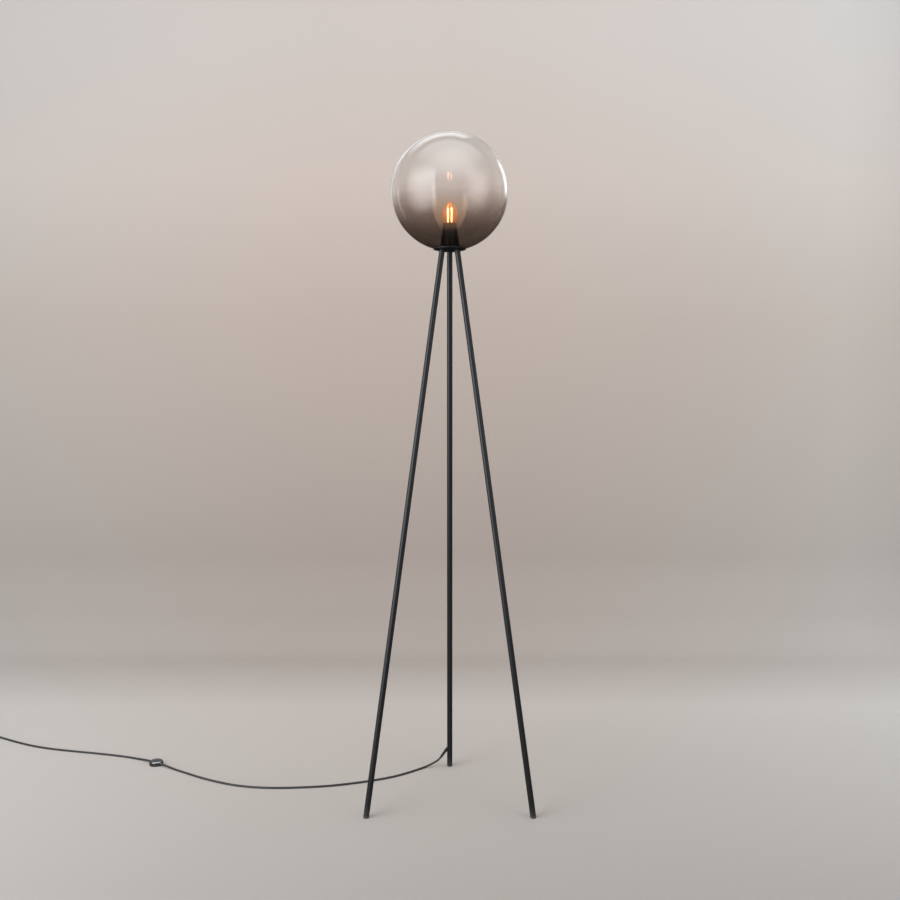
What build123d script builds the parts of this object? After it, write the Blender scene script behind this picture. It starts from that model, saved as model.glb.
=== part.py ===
from build123d import *
import math
import os

# Globe floor lamp: a smoked glass globe in a small steel dish on three slim straight legs.
# Millimetres, +Z up. The origin is on the floor under the globe's centre. The rear leg stands
# towards +Y, the two front legs towards -Y, and the cord runs over the floor towards -X.

os.makedirs("parts", exist_ok=True)

# ---------------------------------------------------------------- driving dimensions

fit_gap = 0.05              # between round faces that touch on the real lamp

globe_radius = 125.0
globe_centre = 1291.0
glass_wall = 3.0
mouth_radius = 29.0

seat_gap = 0.3              # between the lift-off glass and its seat
seat_thickness = 1.0
seat_inner = 28.0
seat_outer = 34.4
dish_thickness = 1.2
dish_rim = 35.0

plate_radius = 27.0
plate_top = 1170.5

leg_radius = 6.0
leg_bore = 4.5
leg_datum = 1163.0          # height at which the leg axes stand on leg_circle
leg_circle = 19.0
foot_circle = 196.0
socket_bottom = 1160.0
washer_radius = 5.2
washer_thickness = 1.2
stud_radius = 4.0
nipple_radius = 4.45
nipple_bore = 3.1
stud_top = 1169.6
stud_depth = 22.0           # length of stud or nipple inside the leg
cap_height = 8.0
spigot_length = 12.0
spigot_radius = 3.0

cone_base_radius = 21.6
cone_top_radius = 14.5
cone_top = 1223.4
cone_wall = 1.0
cone_flange = 1207.7        # underside of the inner flange

holder_radius = 12.4
holder_bottom = 1177.5
holder_floor = 1185.0
holder_top = 1213.0
holder_cavity = 7.6
shell_inner = 7.02
shell_outer = 7.5
post_radius = 5.0

cap_radius = 6.95
contact_bottom = 1187.0
cap_bottom = 1190.5
cap_top = 1214.2
bulb_radius = 17.5
bulb_widest = 1241.0
bulb_tip = 1271.0
bulb_wall = 0.8
filament_length = 30.0
filament_radius = 1.0
filament_circle = 5.6

cord_radius = 2.25
floor_lift = 0.05           # air under a cord that lies on the floor
core_radius = 0.85

switch_centre = (-683.0, 204.0)
switch_heading = 146.5      # degrees from +X, the way the cord runs through the switch
switch_radius = 15.5
switch_wall = 1.3
switch_floor = 1.5
switch_split = 4.6          # height of the cord's axis and of the joint between base and cover
switch_shoulder = 10.8
button_radius = 9.3
button_top = 13.6
button_travel = 2.2
sleeve_length = 4.5

coil_start = (-1165.0, 414.0)
coil_heading = 147.1
coil_radii_in = (32.0, 29.5, 27.0, 24.5)
coil_radius_climb = 22.0
coil_radii_out = (24.5, 27.0, 29.5)
coil_layer = 5.0

plug_thickness = 13.7
plug_width = 35.3
plug_length = 34.0
plug_heading = 128.0
pin_radius = 2.0
pin_length = 19.0
pin_spacing = 18.4
pin_sleeve_length = 10.0
relief_length = 24.0

# ---------------------------------------------------------------- shared construction

ground = cord_radius + floor_lift
leg_slope = (foot_circle - leg_circle) / leg_datum
leg_rise = 1 / math.hypot(1, leg_slope)     # height gained per millimetre along a leg
leg_angles = {"left": 210.0, "right": 330.0, "rear": 90.0}
globe_middle = Vector(0, 0, globe_centre)
seat_sphere = globe_radius + seat_gap
plate_sphere = seat_sphere + seat_thickness
dish_sphere = plate_sphere + fit_gap
dish_outside = dish_sphere + dish_thickness


def write(piece, node):
    """Label a finished piece and write its STEP file."""
    piece.part.label = node
    export_step(piece.part, f"parts/{node}.step")


def flat_direction(degrees):
    """Level unit vector at an angle from +X."""
    return Vector(math.cos(math.radians(degrees)), math.sin(math.radians(degrees)), 0)


def leg_plane(angle):
    """Plane square to a leg where its axis meets the floor, with z up the leg and x level."""
    outward = flat_direction(angle)
    up_the_leg = Vector(0, 0, 1) - outward * leg_slope
    return Plane(origin=outward * foot_circle, x_dir=flat_direction(angle + 90), z_dir=up_the_leg)


def up_leg(height):
    """Distance along a leg at which its axis reaches a height."""
    return height / leg_rise


def on_leg(angle, height):
    """Point on a leg's axis at a height."""
    return leg_plane(angle).from_local_coords(Vector(0, 0, up_leg(height)))


def standing(origin, heading):
    """Upright plane for turned profiles, with x along the heading and y up."""
    along = flat_direction(heading)
    return Plane(origin=origin, x_dir=along, z_dir=along.cross(Vector(0, 0, 1)))


def level(origin, heading):
    """Level plane with x along the heading and z up."""
    return Plane(origin=origin, x_dir=flat_direction(heading), z_dir=(0, 0, 1))


def along_axis(origin, direction):
    """Plane square to a direction, for round pieces that lie along it."""
    return Plane(origin=origin, z_dir=direction)


# ---------------------------------------------------------------- glass globe

with BuildPart() as globe_glass:
    with BuildSketch(Plane.XZ):
        with Locations((0, globe_centre)):
            Circle(globe_radius)
            Circle(globe_radius - glass_wall, mode=Mode.SUBTRACT)
        with Locations((-globe_radius, globe_centre)):
            Rectangle(2 * globe_radius, 3 * globe_radius, mode=Mode.SUBTRACT)
        with Locations((0, globe_centre - globe_radius)):
            Rectangle(2 * mouth_radius, globe_radius, mode=Mode.SUBTRACT)
    revolve(axis=Axis.Z)
    mouth_edges = globe_glass.edges().filter_by(GeomType.CIRCLE).group_by(Axis.Z)[:2]
    fillet([edge for group in mouth_edges for edge in group], radius=glass_wall * 0.4)
write(globe_glass, "globe_glass")

# ---------------------------------------------------------------- dish, seat and plate

with BuildPart() as dish:
    with BuildSketch(Plane.XZ):
        with Locations((0, globe_centre)):
            Circle(dish_outside)
            Circle(dish_sphere, mode=Mode.SUBTRACT)
        with Locations((dish_rim / 2, globe_centre - globe_radius)):
            Rectangle(dish_rim, 2 * dish_rim, mode=Mode.INTERSECT)
    revolve(axis=Axis.Z)
    fillet(dish.edges().filter_by(GeomType.CIRCLE).group_by(Axis.Z)[-1], radius=dish_thickness * 0.3)
    for side, angle in leg_angles.items():
        bore = nipple_radius if side == "rear" else stud_radius
        with BuildSketch(leg_plane(angle).offset(up_leg(socket_bottom))):
            Circle(bore + fit_gap)
        extrude(amount=leg_radius * 2, mode=Mode.SUBTRACT)
write(dish, "dish")

with BuildPart() as seat_ring:
    with BuildSketch(Plane.XZ):
        with Locations((0, globe_centre)):
            Circle(plate_sphere)
            Circle(seat_sphere, mode=Mode.SUBTRACT)
        with Locations(((seat_inner + seat_outer) / 2, globe_centre - globe_radius)):
            Rectangle(seat_outer - seat_inner, 2 * dish_rim, mode=Mode.INTERSECT)
    revolve(axis=Axis.Z)
write(seat_ring, "seat_ring")

with BuildPart() as mounting_plate:
    with BuildSketch(Plane.XY.offset(plate_top)):
        Circle(plate_radius)
    extrude(amount=-leg_radius * 2)
    with Locations(globe_middle):
        Sphere(plate_sphere, mode=Mode.INTERSECT)
    for side, angle in leg_angles.items():
        bore = nipple_radius if side == "rear" else stud_radius
        with BuildSketch(leg_plane(angle).offset(up_leg(socket_bottom))):
            Circle(bore + fit_gap)
        extrude(amount=leg_radius * 3, mode=Mode.SUBTRACT)
    with BuildSketch(Plane.XY.offset(plate_top)):
        Circle(post_radius + fit_gap)
    extrude(amount=-4.5, mode=Mode.SUBTRACT)
write(mounting_plate, "mounting_plate")

# ---------------------------------------------------------------- legs

leg_low = cap_height
leg_high = up_leg(socket_bottom) - washer_thickness

# The cord turns out of the rear leg near the floor. It leaves along exit_direction, through a
# slanted hole that a tapered bush lines.
exit_corner = on_leg(leg_angles["rear"], 51.6)
exit_direction = Vector(-0.585, 0.03, -0.8105).normalized()
bush_start = 8.2
bush_collar = 15.4
bush_end = 34.0
bush_radius = 3.1
bush_collar_radius = 3.6
bush_tip_radius = 2.75
bush_plane = along_axis(exit_corner, exit_direction)

for side, angle in leg_angles.items():
    base = leg_plane(angle)
    hollow = side == "rear"
    stud_hole = leg_bore if hollow else stud_radius + fit_gap
    spigot_hole = leg_bore if hollow else spigot_radius

    with BuildPart() as socket:
        with BuildSketch(base.offset(up_leg(socket_bottom))):
            Circle(leg_radius)
            Circle(stud_hole, mode=Mode.SUBTRACT)
        extrude(amount=leg_radius * 2)
        with Locations(globe_middle):
            Sphere(dish_outside + fit_gap, mode=Mode.SUBTRACT)
    write(socket, f"socket_{side}")

    with BuildPart() as leg:
        with BuildSketch(base.offset(leg_low)):
            Circle(leg_radius)
        extrude(amount=leg_high - leg_low)
        ends = leg.edges().filter_by(GeomType.CIRCLE)
        chamfer(ends, length=0.4)
        with BuildSketch(base.offset(leg_low)):
            Circle(spigot_hole)
        extrude(amount=leg_high - leg_low if hollow else spigot_length, mode=Mode.SUBTRACT)
        with BuildSketch(base.offset(leg_high)):
            Circle(stud_hole)
        extrude(amount=-stud_depth, mode=Mode.SUBTRACT)
        if hollow:
            with BuildSketch(bush_plane):
                Circle(bush_radius + fit_gap)
            extrude(amount=bush_end, mode=Mode.SUBTRACT)
    write(leg, f"leg_{side}")

    with BuildPart() as foot_cap:
        with BuildSketch(base.offset(-leg_radius)):
            Circle(leg_radius)
        extrude(amount=leg_radius + cap_height)
        with BuildSketch(base.offset(cap_height)):
            Circle(spigot_hole - fit_gap)
        extrude(amount=spigot_length - 1)
        split(bisect_by=Plane.XY, keep=Keep.TOP)
        fillet(foot_cap.faces().sort_by(Axis.Z)[0].edges(), radius=1.2)
    write(foot_cap, f"foot_cap_{side}")

with BuildPart() as leg_washers:
    for side, angle in leg_angles.items():
        washer_hole = leg_bore if side == "rear" else stud_radius + fit_gap
        with BuildSketch(leg_plane(angle).offset(leg_high)):
            Circle(washer_radius)
            Circle(washer_hole, mode=Mode.SUBTRACT)
        extrude(amount=washer_thickness)
write(leg_washers, "leg_washers")

with BuildPart() as leg_studs:
    for side in ("left", "right"):
        with BuildSketch(leg_plane(leg_angles[side]).offset(leg_high - stud_depth + 1)):
            Circle(stud_radius)
        extrude(amount=up_leg(stud_top) - leg_high + stud_depth - 1)
write(leg_studs, "leg_studs")

with BuildPart() as cord_nipple:
    with BuildSketch(leg_plane(leg_angles["rear"]).offset(leg_high - stud_depth + 1)):
        Circle(nipple_radius)
        Circle(nipple_bore, mode=Mode.SUBTRACT)
    extrude(amount=up_leg(stud_top) - leg_high + stud_depth - 1)
write(cord_nipple, "cord_nipple")

with BuildPart() as cord_bush:
    with BuildSketch(bush_plane.offset(bush_start)):
        Circle(bush_radius)
    extrude(amount=bush_collar - bush_start)
    with BuildSketch(bush_plane.offset(bush_collar)):
        Circle(bush_collar_radius)
    extrude(amount=1.8)
    with BuildSketch(bush_plane.offset(bush_collar + 1.8)):
        Circle(bush_radius)
    with BuildSketch(bush_plane.offset(bush_end)):
        Circle(bush_tip_radius)
    loft()
    with BuildSketch(bush_plane):
        Circle(cord_radius + fit_gap)
    extrude(amount=bush_end, mode=Mode.SUBTRACT)
write(cord_bush, "cord_bush")

# ---------------------------------------------------------------- lampholder and its cone

cone_taper = (cone_base_radius - cone_top_radius) / (cone_top - plate_top)


def cone_radius(height):
    """Outer radius of the cone at a height."""
    return cone_base_radius - cone_taper * (height - plate_top)


with BuildPart() as holder_cone:
    flange_top = cone_flange + cone_wall
    with BuildSketch(Plane.XZ):
        Polygon(
            (cone_base_radius, plate_top),
            (cone_top_radius, cone_top),
            (cone_top_radius - cone_wall, cone_top),
            (cone_radius(flange_top) - cone_wall, flange_top),
            (holder_radius + 0.1, flange_top),
            (holder_radius + 0.1, cone_flange),
            (cone_radius(cone_flange) - cone_wall, cone_flange),
            (cone_base_radius - cone_wall, plate_top),
        )
    revolve(axis=Axis.Z)
    fillet(holder_cone.edges().filter_by(GeomType.CIRCLE).group_by(Axis.Z)[-1], radius=cone_wall * 0.42)
write(holder_cone, "holder_cone")

ring_bottom = cone_flange + cone_wall
ring_height = 3.7
with BuildPart() as holder_ring:
    with BuildSketch(Plane.XY.offset(ring_bottom)):
        Circle(holder_radius + 1.8)
        Circle(holder_radius + fit_gap, mode=Mode.SUBTRACT)
        with PolarLocations(holder_radius + 2.1, 16):
            Circle(0.6, mode=Mode.SUBTRACT)
    extrude(amount=ring_height)
write(holder_ring, "holder_ring")

terminal_x = 4.2
terminal_y = 9.1
terminal_z = 1188.0
terminal_size = (3.6, 3.0, 4.8)
screw_radius = 1.1

with BuildPart() as holder_body:
    with BuildSketch(Plane.XZ):
        Polygon(
            (0, holder_bottom),
            (8.5, holder_bottom),
            (8.5, holder_bottom + 3.5),
            (holder_radius, holder_bottom + 7.0),
            (holder_radius, holder_top),
            (holder_cavity, holder_top),
            (holder_cavity, holder_floor),
            (0, holder_floor),
        )
    revolve(axis=Axis.Z)
    with BuildSketch(Plane.XY.offset(holder_bottom)):
        Circle(post_radius + fit_gap)
    extrude(amount=5.5, mode=Mode.SUBTRACT)
    with Locations((-terminal_x, terminal_y, terminal_z), (terminal_x, terminal_y, terminal_z)):
        Box(terminal_size[0] + 0.1, 9.0, terminal_size[2] + 0.1, mode=Mode.SUBTRACT)
    with BuildSketch(Plane.XY.offset(holder_bottom)):
        with Locations((-terminal_x, terminal_y), (terminal_x, terminal_y)):
            Circle(screw_radius + 0.1)
    extrude(amount=terminal_z - holder_bottom, mode=Mode.SUBTRACT)
write(holder_body, "holder_body")

with BuildPart() as holder_shell:
    with BuildSketch(Plane.XY.offset(cap_bottom - 0.7)):
        Circle(shell_outer)
        Circle(shell_inner, mode=Mode.SUBTRACT)
    extrude(amount=holder_top - 1.0 - cap_bottom + 0.7)
write(holder_shell, "holder_shell")

with BuildPart() as holder_terminals:
    with Locations((-terminal_x, terminal_y, terminal_z), (terminal_x, terminal_y, terminal_z)):
        Box(*terminal_size)
    with BuildSketch(Plane.XY.offset(terminal_z - terminal_size[2])):
        with Locations((-terminal_x, terminal_y), (terminal_x, terminal_y)):
            Circle(screw_radius + fit_gap)
    extrude(amount=terminal_size[2], mode=Mode.SUBTRACT)
write(holder_terminals, "holder_terminals")

with BuildPart() as terminal_screws:
    with BuildSketch(Plane.XY.offset(terminal_z - 4.6)):
        with Locations((-terminal_x, terminal_y), (terminal_x, terminal_y)):
            Circle(screw_radius)
    extrude(amount=4.0)
    with Locations((-terminal_x, terminal_y, terminal_z - 4.6), (terminal_x, terminal_y, terminal_z - 4.6)):
        Box(2 * screw_radius, 0.4, 1.0, mode=Mode.SUBTRACT)
write(terminal_screws, "terminal_screws")

tongue_thickness = 0.5
tongue_height = terminal_z - terminal_size[2] / 2
with BuildPart() as centre_contact:
    with BuildSketch(Plane.XY.offset(tongue_height)):
        Polygon((-5.4, 7.6), (-3.0, 7.6), (-3.0, 6.0), (1.6, 0.6), (0.6, -1.6), (-1.2, -1.0), (-5.4, 5.0))
    extrude(amount=tongue_thickness)
    with BuildSketch(Plane.XY.offset(tongue_height)):
        Circle(1.5)
    extrude(amount=contact_bottom - tongue_height - fit_gap)
write(centre_contact, "centre_contact")

with BuildPart() as side_contact:
    with Locations((3.9, 6.7, terminal_z)):
        Box(1.0, 1.8, 0.8)
    with Locations((3.9, 5.95, cap_bottom - 0.7)):
        Box(1.0, 0.3, 2.2, align=(Align.CENTER, Align.CENTER, Align.MAX))
write(side_contact, "side_contact")

washer_top = plate_top + 0.8
with BuildPart() as post_washer:
    with BuildSketch(Plane.XY.offset(plate_top)):
        Circle(8.5)
        Circle(post_radius + fit_gap, mode=Mode.SUBTRACT)
        with PolarLocations(8.5, 12):
            Rectangle(1.6, 0.9, mode=Mode.SUBTRACT)
    extrude(amount=washer_top - plate_top)
write(post_washer, "post_washer")

with BuildPart() as post_nut:
    with BuildSketch(Plane.XY.offset(washer_top)):
        RegularPolygon(7.0, 6, major_radius=False)
        Circle(post_radius + fit_gap, mode=Mode.SUBTRACT)
    extrude(amount=3.0)
write(post_nut, "post_nut")

with BuildPart() as holder_post:
    with BuildSketch(Plane.XY.offset(plate_top - 4.4)):
        Circle(post_radius)
        Circle(post_radius - 1.5, mode=Mode.SUBTRACT)
    extrude(amount=holder_bottom + 5.4 - plate_top + 4.4)
write(holder_post, "holder_post")

# ---------------------------------------------------------------- bulb

with BuildPart() as bulb_glass:
    with BuildSketch(Plane.XZ):
        with BuildLine():
            outer = Spline(
                (6.3, cap_top),
                (12.4, cap_top + 8.8),
                (bulb_radius, bulb_widest),
                (12.9, bulb_widest + 17.0),
                (4.6, bulb_tip - 2.6),
                (0, bulb_tip),
                tangents=[(0.5, 1), (-1, 0)],
            )
            Line(outer @ 1, (0, cap_top - 6))
            Line((0, cap_top - 6), (6.3, cap_top - 6))
            Line((6.3, cap_top - 6), outer @ 0)
        make_face()
    revolve(axis=Axis.Z)
    offset(amount=-bulb_wall, openings=bulb_glass.faces().sort_by(Axis.Z)[0])
write(bulb_glass, "bulb_glass")

with BuildPart() as bulb_cap:
    with BuildSketch(Plane.XZ):
        Polygon(
            (cap_radius, cap_bottom),
            (cap_radius, cap_top - 0.9),
            (cap_radius + 0.6, cap_top - 0.9),
            (cap_radius + 0.6, cap_top - 0.1),
            (cap_radius - 0.5, cap_top - 0.1),
            (cap_radius - 0.5, cap_bottom + 0.5),
            (cap_radius - 1.2, cap_bottom + 0.5),
            (cap_radius - 1.2, cap_bottom),
        )
    revolve(axis=Axis.Z)
write(bulb_cap, "bulb_cap")

with BuildPart() as bulb_insulator:
    with BuildSketch(Plane.XZ):
        Polygon(
            (2.4, contact_bottom + 1.2),
            (4.6, contact_bottom + 1.2),
            (6.4, cap_bottom),
            (cap_radius - 1.2 - fit_gap, cap_bottom),
            (cap_radius - 1.2 - fit_gap, cap_bottom + 1.0),
            (2.4, cap_bottom + 1.0),
        )
    revolve(axis=Axis.Z)
write(bulb_insulator, "bulb_insulator")

with BuildPart() as bulb_contact:
    with BuildSketch(Plane.XZ):
        Polygon(
            (0, contact_bottom),
            (1.6, contact_bottom),
            (3.2, contact_bottom + 0.6),
            (3.2, contact_bottom + 1.2),
            (2.3, contact_bottom + 1.2),
            (2.3, contact_bottom + 3.0),
            (0, contact_bottom + 3.0),
        )
    revolve(axis=Axis.Z)
write(bulb_contact, "bulb_contact")

with BuildPart() as bulb_driver:
    with Locations((0, 0, cap_bottom + 9.5)):
        Box(9.0, 1.0, 14.0)
    with Locations((1.2, 1.6, cap_bottom + 6.0)):
        Box(4.0, 2.2, 4.0)
    with BuildSketch(Plane.XZ.offset(-0.5)):
        with Locations((-1.0, cap_bottom + 12.0)):
            Circle(2.0)
    extrude(amount=-3.0)
write(bulb_driver, "bulb_driver")

stem_foot = cap_top - 5.8
stem_top = 1224.0
filament_bottom = 1226.0
with BuildPart() as bulb_stem:
    with BuildSketch(Plane.XZ):
        Polygon(
            (0, stem_foot),
            (5.2, stem_foot),
            (5.2, stem_foot + 0.8),
            (2.0, stem_foot + 7.0),
            (1.4, stem_top),
            (0, stem_top),
        )
    revolve(axis=Axis.Z)
write(bulb_stem, "bulb_stem")

wire_radius = 0.3
wire_low = stem_top + 1.0
wire_high = filament_bottom + filament_length + 0.6
filament_turn = 40.0        # the four filaments stand in a square, a little turned from the front
with BuildPart() as bulb_wires:
    with BuildSketch(Plane.XY.offset(stem_top)):
        Circle(wire_radius * 2)
    extrude(amount=wire_high + 1.0 - stem_top)
    for wire_height in (wire_low, wire_high):
        for quarter in range(4):
            spoke = flat_direction(filament_turn + 90 * quarter)
            with BuildSketch(Plane(origin=(0, 0, wire_height), z_dir=spoke)):
                Circle(wire_radius)
            extrude(amount=filament_circle)
            towards = 1 if wire_height < filament_bottom else -1
            turn_up = spoke * filament_circle + Vector(0, 0, wire_height - towards * wire_radius)
            with BuildSketch(Plane(origin=turn_up)):
                Circle(wire_radius)
            filament_end = filament_bottom if towards > 0 else filament_bottom + filament_length
            reach = abs(filament_end - wire_height)
            extrude(amount=towards * (reach + wire_radius))
write(bulb_wires, "bulb_wires")

with BuildPart() as bulb_filaments:
    with BuildSketch(Plane.XY.offset(filament_bottom)):
        with PolarLocations(filament_circle, 4, start_angle=filament_turn):
            Circle(filament_radius)
    extrude(amount=filament_length)
write(bulb_filaments, "bulb_filaments")

# ---------------------------------------------------------------- cord routes

def corner_radii(points):
    """Arc at each corner: 0.45 of the shorter run over the tangent of half the turn."""
    radii = []
    for before, corner, after in zip(points, points[1:], points[2:]):
        run_in = Vector(*corner) - Vector(*before)
        run_out = Vector(*after) - Vector(*corner)
        half_turn = math.radians(run_in.get_angle(run_out) / 2)
        radii.append(0.45 * min(run_in.length, run_out.length) / math.tan(half_turn))
    return radii


def lay_tube(node, points, radius, radii=None):
    """Tube along straight runs and tangent arcs. Prints its length, its arcs and its volume."""
    arcs = radii or corner_radii(points)
    with BuildPart() as tube:
        with BuildLine() as route:
            FilletPolyline(*points, radius=arcs)
        with BuildSketch(Plane(origin=route.line @ 0, z_dir=route.line % 0)):
            Circle(radius)
        sweep(path=route.line)
    length = sum(edge.length for edge in route.edges())
    share = tube.part.volume / (math.pi * radius**2 * length)
    print(node, "length", round(length), "radii", [round(arc) for arc in arcs], "volume", round(share, 4))
    write(tube, node)
    return length


# The held cord: down the rear leg from the anchor above the dish, then out through the bush.
sheath_end = Vector(0, 15.0, 1178.5)
cord_exit = exit_corner + exit_direction * bush_end
held_points = [
    sheath_end,
    on_leg(leg_angles["rear"], 1171.3),
    on_leg(leg_angles["rear"], 620.0) + Vector(0.4, 0, 0),
    exit_corner,
    cord_exit,
]
held_length = lay_tube("cord_in_lamp", held_points, cord_radius, [35.0, 4000.0, 24.0])

# Free stretch from the bush to the switch, over the floor.
switch_along = flat_direction(switch_heading)
switch_middle = Vector(*switch_centre, 0)
sleeve_reach = switch_radius + sleeve_length - 0.3
switch_in = switch_middle - switch_along * sleeve_reach + Vector(0, 0, switch_split)
switch_out = switch_middle + switch_along * sleeve_reach + Vector(0, 0, switch_split)
lead_points = [
    cord_exit,
    cord_exit + exit_direction * 8.0,
    (-37.0, 190.0, 9.3),
    (-51.0, 186.5, 3.6),
    (-67.0, 173.0, ground),
    (-90.0, 151.0, ground),
    (-123.0, 124.0, ground),
    (-166.0, 101.5, ground),
    (-215.0, 82.0, ground),
    (-266.0, 67.0, ground),
    (-320.0, 59.0, ground),
    (-375.0, 55.5, ground),
    (-427.0, 59.0, ground),
    (-475.0, 72.0, ground),
    (-521.0, 94.5, ground),
    (-564.0, 120.5, ground),
    (-604.0, 149.5, ground),
    (-632.0, 169.6, ground),
    switch_in - switch_along * 14.0,
    switch_in,
]
lead_length = lay_tube("cord_to_switch", lead_points, cord_radius)

# Free stretch from the switch to the coil.
coil_along = flat_direction(coil_heading)
coil_left = flat_direction(coil_heading + 90)
coil_entry = Vector(*coil_start, ground)
second_points = [
    switch_out,
    switch_out + switch_along * 14.0,
    (-734.0, 236.3, ground),
    (-762.0, 248.5, ground),
    (-801.0, 261.5, ground),
    (-852.0, 275.5, ground),
    (-905.0, 288.5, ground),
    (-956.0, 302.0, ground),
    (-1002.0, 318.5, ground),
    (-1045.0, 339.0, ground),
    (-1087.0, 364.0, ground),
    coil_entry - coil_along * 44.0,
    coil_entry,
]
second_length = lay_tube("cord_to_coil", second_points, cord_radius)

# The coil of the length that isn't seen: half circles that spiral in on the floor, climb a
# layer in one half turn and spiral out again on top.
coil_first = coil_entry + coil_along * (2 * cord_radius)
coil_steps = [(radius, 0) for radius in coil_radii_in]
coil_steps += [(coil_radius_climb, coil_layer)]
coil_steps += [(radius, 0) for radius in coil_radii_out]
with BuildPart() as cord_coil:
    with BuildLine() as coil_line:
        Line(coil_entry, coil_first)
        here = coil_first
        ahead = 1
        for radius, lift in coil_steps:
            there = here + coil_left * (2 * radius * ahead) + Vector(0, 0, lift)
            halfway = (here + there) * 0.5 + coil_along * (ahead * (there - here).length / 2)
            ThreePointArc(here, halfway, there)
            here = there
            ahead = -ahead
        coil_exit = here + coil_along * (2 * cord_radius)
        Line(here, coil_exit)
    with BuildSketch(Plane(origin=coil_line.line @ 0, z_dir=coil_line.line % 0)):
        Circle(cord_radius)
    sweep(path=coil_line.line)
coil_length = sum(edge.length for edge in coil_line.edges())
coil_share = cord_coil.part.volume / (math.pi * cord_radius**2 * coil_length)
write(cord_coil, "cord_coil")

coil_wire = coil_line.wires()[0]
samples = 900
coil_points = [coil_wire.position_at(index / samples) for index in range(samples + 1)]
step = coil_length / samples
skip = int(math.pi * coil_radius_climb / step)
least_gap = min(
    (coil_points[i] - coil_points[j]).length - 2 * cord_radius
    for i in range(len(coil_points))
    for j in range(i + skip, len(coil_points))
)
print("cord_coil length", round(coil_length), "volume", round(coil_share, 4), "gap", round(least_gap, 3))

# The tail from the coil to the plug, and the plug lying beside the coil.
plug_along = flat_direction(plug_heading)
relief_end = coil_exit + coil_along * 30.0 + plug_along * 22.0
relief_end = Vector(relief_end.X, relief_end.Y, plug_thickness / 2)
tail_points = [
    coil_exit,
    coil_exit + coil_along * 11.0,
    coil_exit + coil_along * 25.0 + plug_along * 6.0 - Vector(0, 0, 0.3),
    relief_end - plug_along * 10.0,
    relief_end,
]
tail_length = lay_tube("cord_tail", tail_points, cord_radius)
free_length = lead_length + second_length + coil_length + tail_length + 2 * sleeve_reach
print("cord from the leg to the plug", round(free_length), "held in the lamp", round(held_length))

# ---------------------------------------------------------------- cord fittings in the lamp

sheath_direction = (sheath_end - on_leg(leg_angles["rear"], 1171.3)).normalized()
anchor_plane = Plane(origin=sheath_end, x_dir=(1, 0, 0), z_dir=sheath_direction)
with BuildPart() as cord_anchor:
    with BuildSketch(anchor_plane.offset(-3.2)):
        Circle(cord_radius + 0.8)
        with Locations((0, -3.2)):
            Rectangle(3.6, 2.2)
        Circle(cord_radius + fit_gap, mode=Mode.SUBTRACT)
    extrude(amount=2.4)
write(cord_anchor, "cord_anchor")

for name, hand in (("lead_live", -1), ("lead_neutral", 1)):
    core_start = sheath_end + Vector(1.05 * hand, 0, 0)
    lead_route = [
        core_start,
        core_start + sheath_direction * 2.4,
        (3.4 * hand, 15.2, 1185.0),
        (terminal_x * hand, 14.3, terminal_z),
        (terminal_x * hand, terminal_y + terminal_size[1] / 2, terminal_z),
    ]
    lay_tube(name, lead_route, core_radius)

# ---------------------------------------------------------------- foot switch

switch_upright = standing(switch_middle, switch_heading)
switch_axis = Axis(origin=switch_middle, direction=(0, 0, 1))
switch_level = level(switch_middle, switch_heading)
sleeve_radius = 3.2
sleeve_tip_radius = 2.7
sleeve_taper = sleeve_length - 0.3
boss_circle = 12.2
boss_radius = 1.6
boss_places = [(0, -boss_circle), (0, boss_circle)]
inner_radius = switch_radius - switch_wall
gland_radius = sleeve_radius + fit_gap

with BuildPart() as switch_base:
    with BuildSketch(switch_level):
        Circle(switch_radius)
    extrude(amount=switch_split)
    fillet(switch_base.faces().sort_by(Axis.Z)[0].edges(), radius=0.6)
    with BuildSketch(switch_level.offset(switch_floor)):
        Circle(inner_radius)
        with Locations(*boss_places):
            Circle(boss_radius, mode=Mode.SUBTRACT)
    extrude(amount=switch_split, mode=Mode.SUBTRACT)
    with BuildSketch(switch_level):
        with Locations(*boss_places):
            Circle(0.85)
    extrude(amount=switch_split, mode=Mode.SUBTRACT)
    with BuildSketch(switch_level):
        with Locations(*boss_places):
            Circle(1.45)
    extrude(amount=0.9, mode=Mode.SUBTRACT)
    for wall in (switch_in, switch_out):
        with BuildSketch(along_axis(wall, switch_along)):
            Circle(gland_radius)
        extrude(amount=sleeve_length + 2 * switch_wall, both=True, mode=Mode.SUBTRACT)
write(switch_base, "switch_base")

shoulder_start = 7.0
cover_mouth = 9.7
with BuildPart() as switch_cover:
    with BuildSketch(switch_upright):
        with BuildLine():
            shoulder = ThreePointArc(
                (switch_radius, shoulder_start),
                (14.2, 9.4),
                (cover_mouth + 0.9, switch_shoulder),
            )
            Line(shoulder @ 1, (cover_mouth, switch_shoulder))
            Line((cover_mouth, switch_shoulder), (cover_mouth, switch_shoulder - switch_wall))
            under = ThreePointArc(
                (cover_mouth, switch_shoulder - switch_wall),
                (13.0, 8.6),
                (inner_radius, shoulder_start - 0.4),
            )
            Line(under @ 1, (inner_radius, switch_split))
            Line((inner_radius, switch_split), (switch_radius, switch_split))
            Line((switch_radius, switch_split), shoulder @ 0)
        make_face()
    revolve(axis=switch_axis)
    with BuildSketch(switch_level.offset(switch_split)):
        with Locations(*boss_places):
            Circle(boss_radius)
    extrude(amount=3.2)
    with BuildSketch(switch_level.offset(switch_split)):
        with Locations(*boss_places):
            Circle(0.6)
    extrude(amount=2.4, mode=Mode.SUBTRACT)
    for wall in (switch_in, switch_out):
        with BuildSketch(along_axis(wall, switch_along)):
            Circle(gland_radius)
        extrude(amount=sleeve_length + 2 * switch_wall, both=True, mode=Mode.SUBTRACT)
write(switch_cover, "switch_cover")

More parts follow.
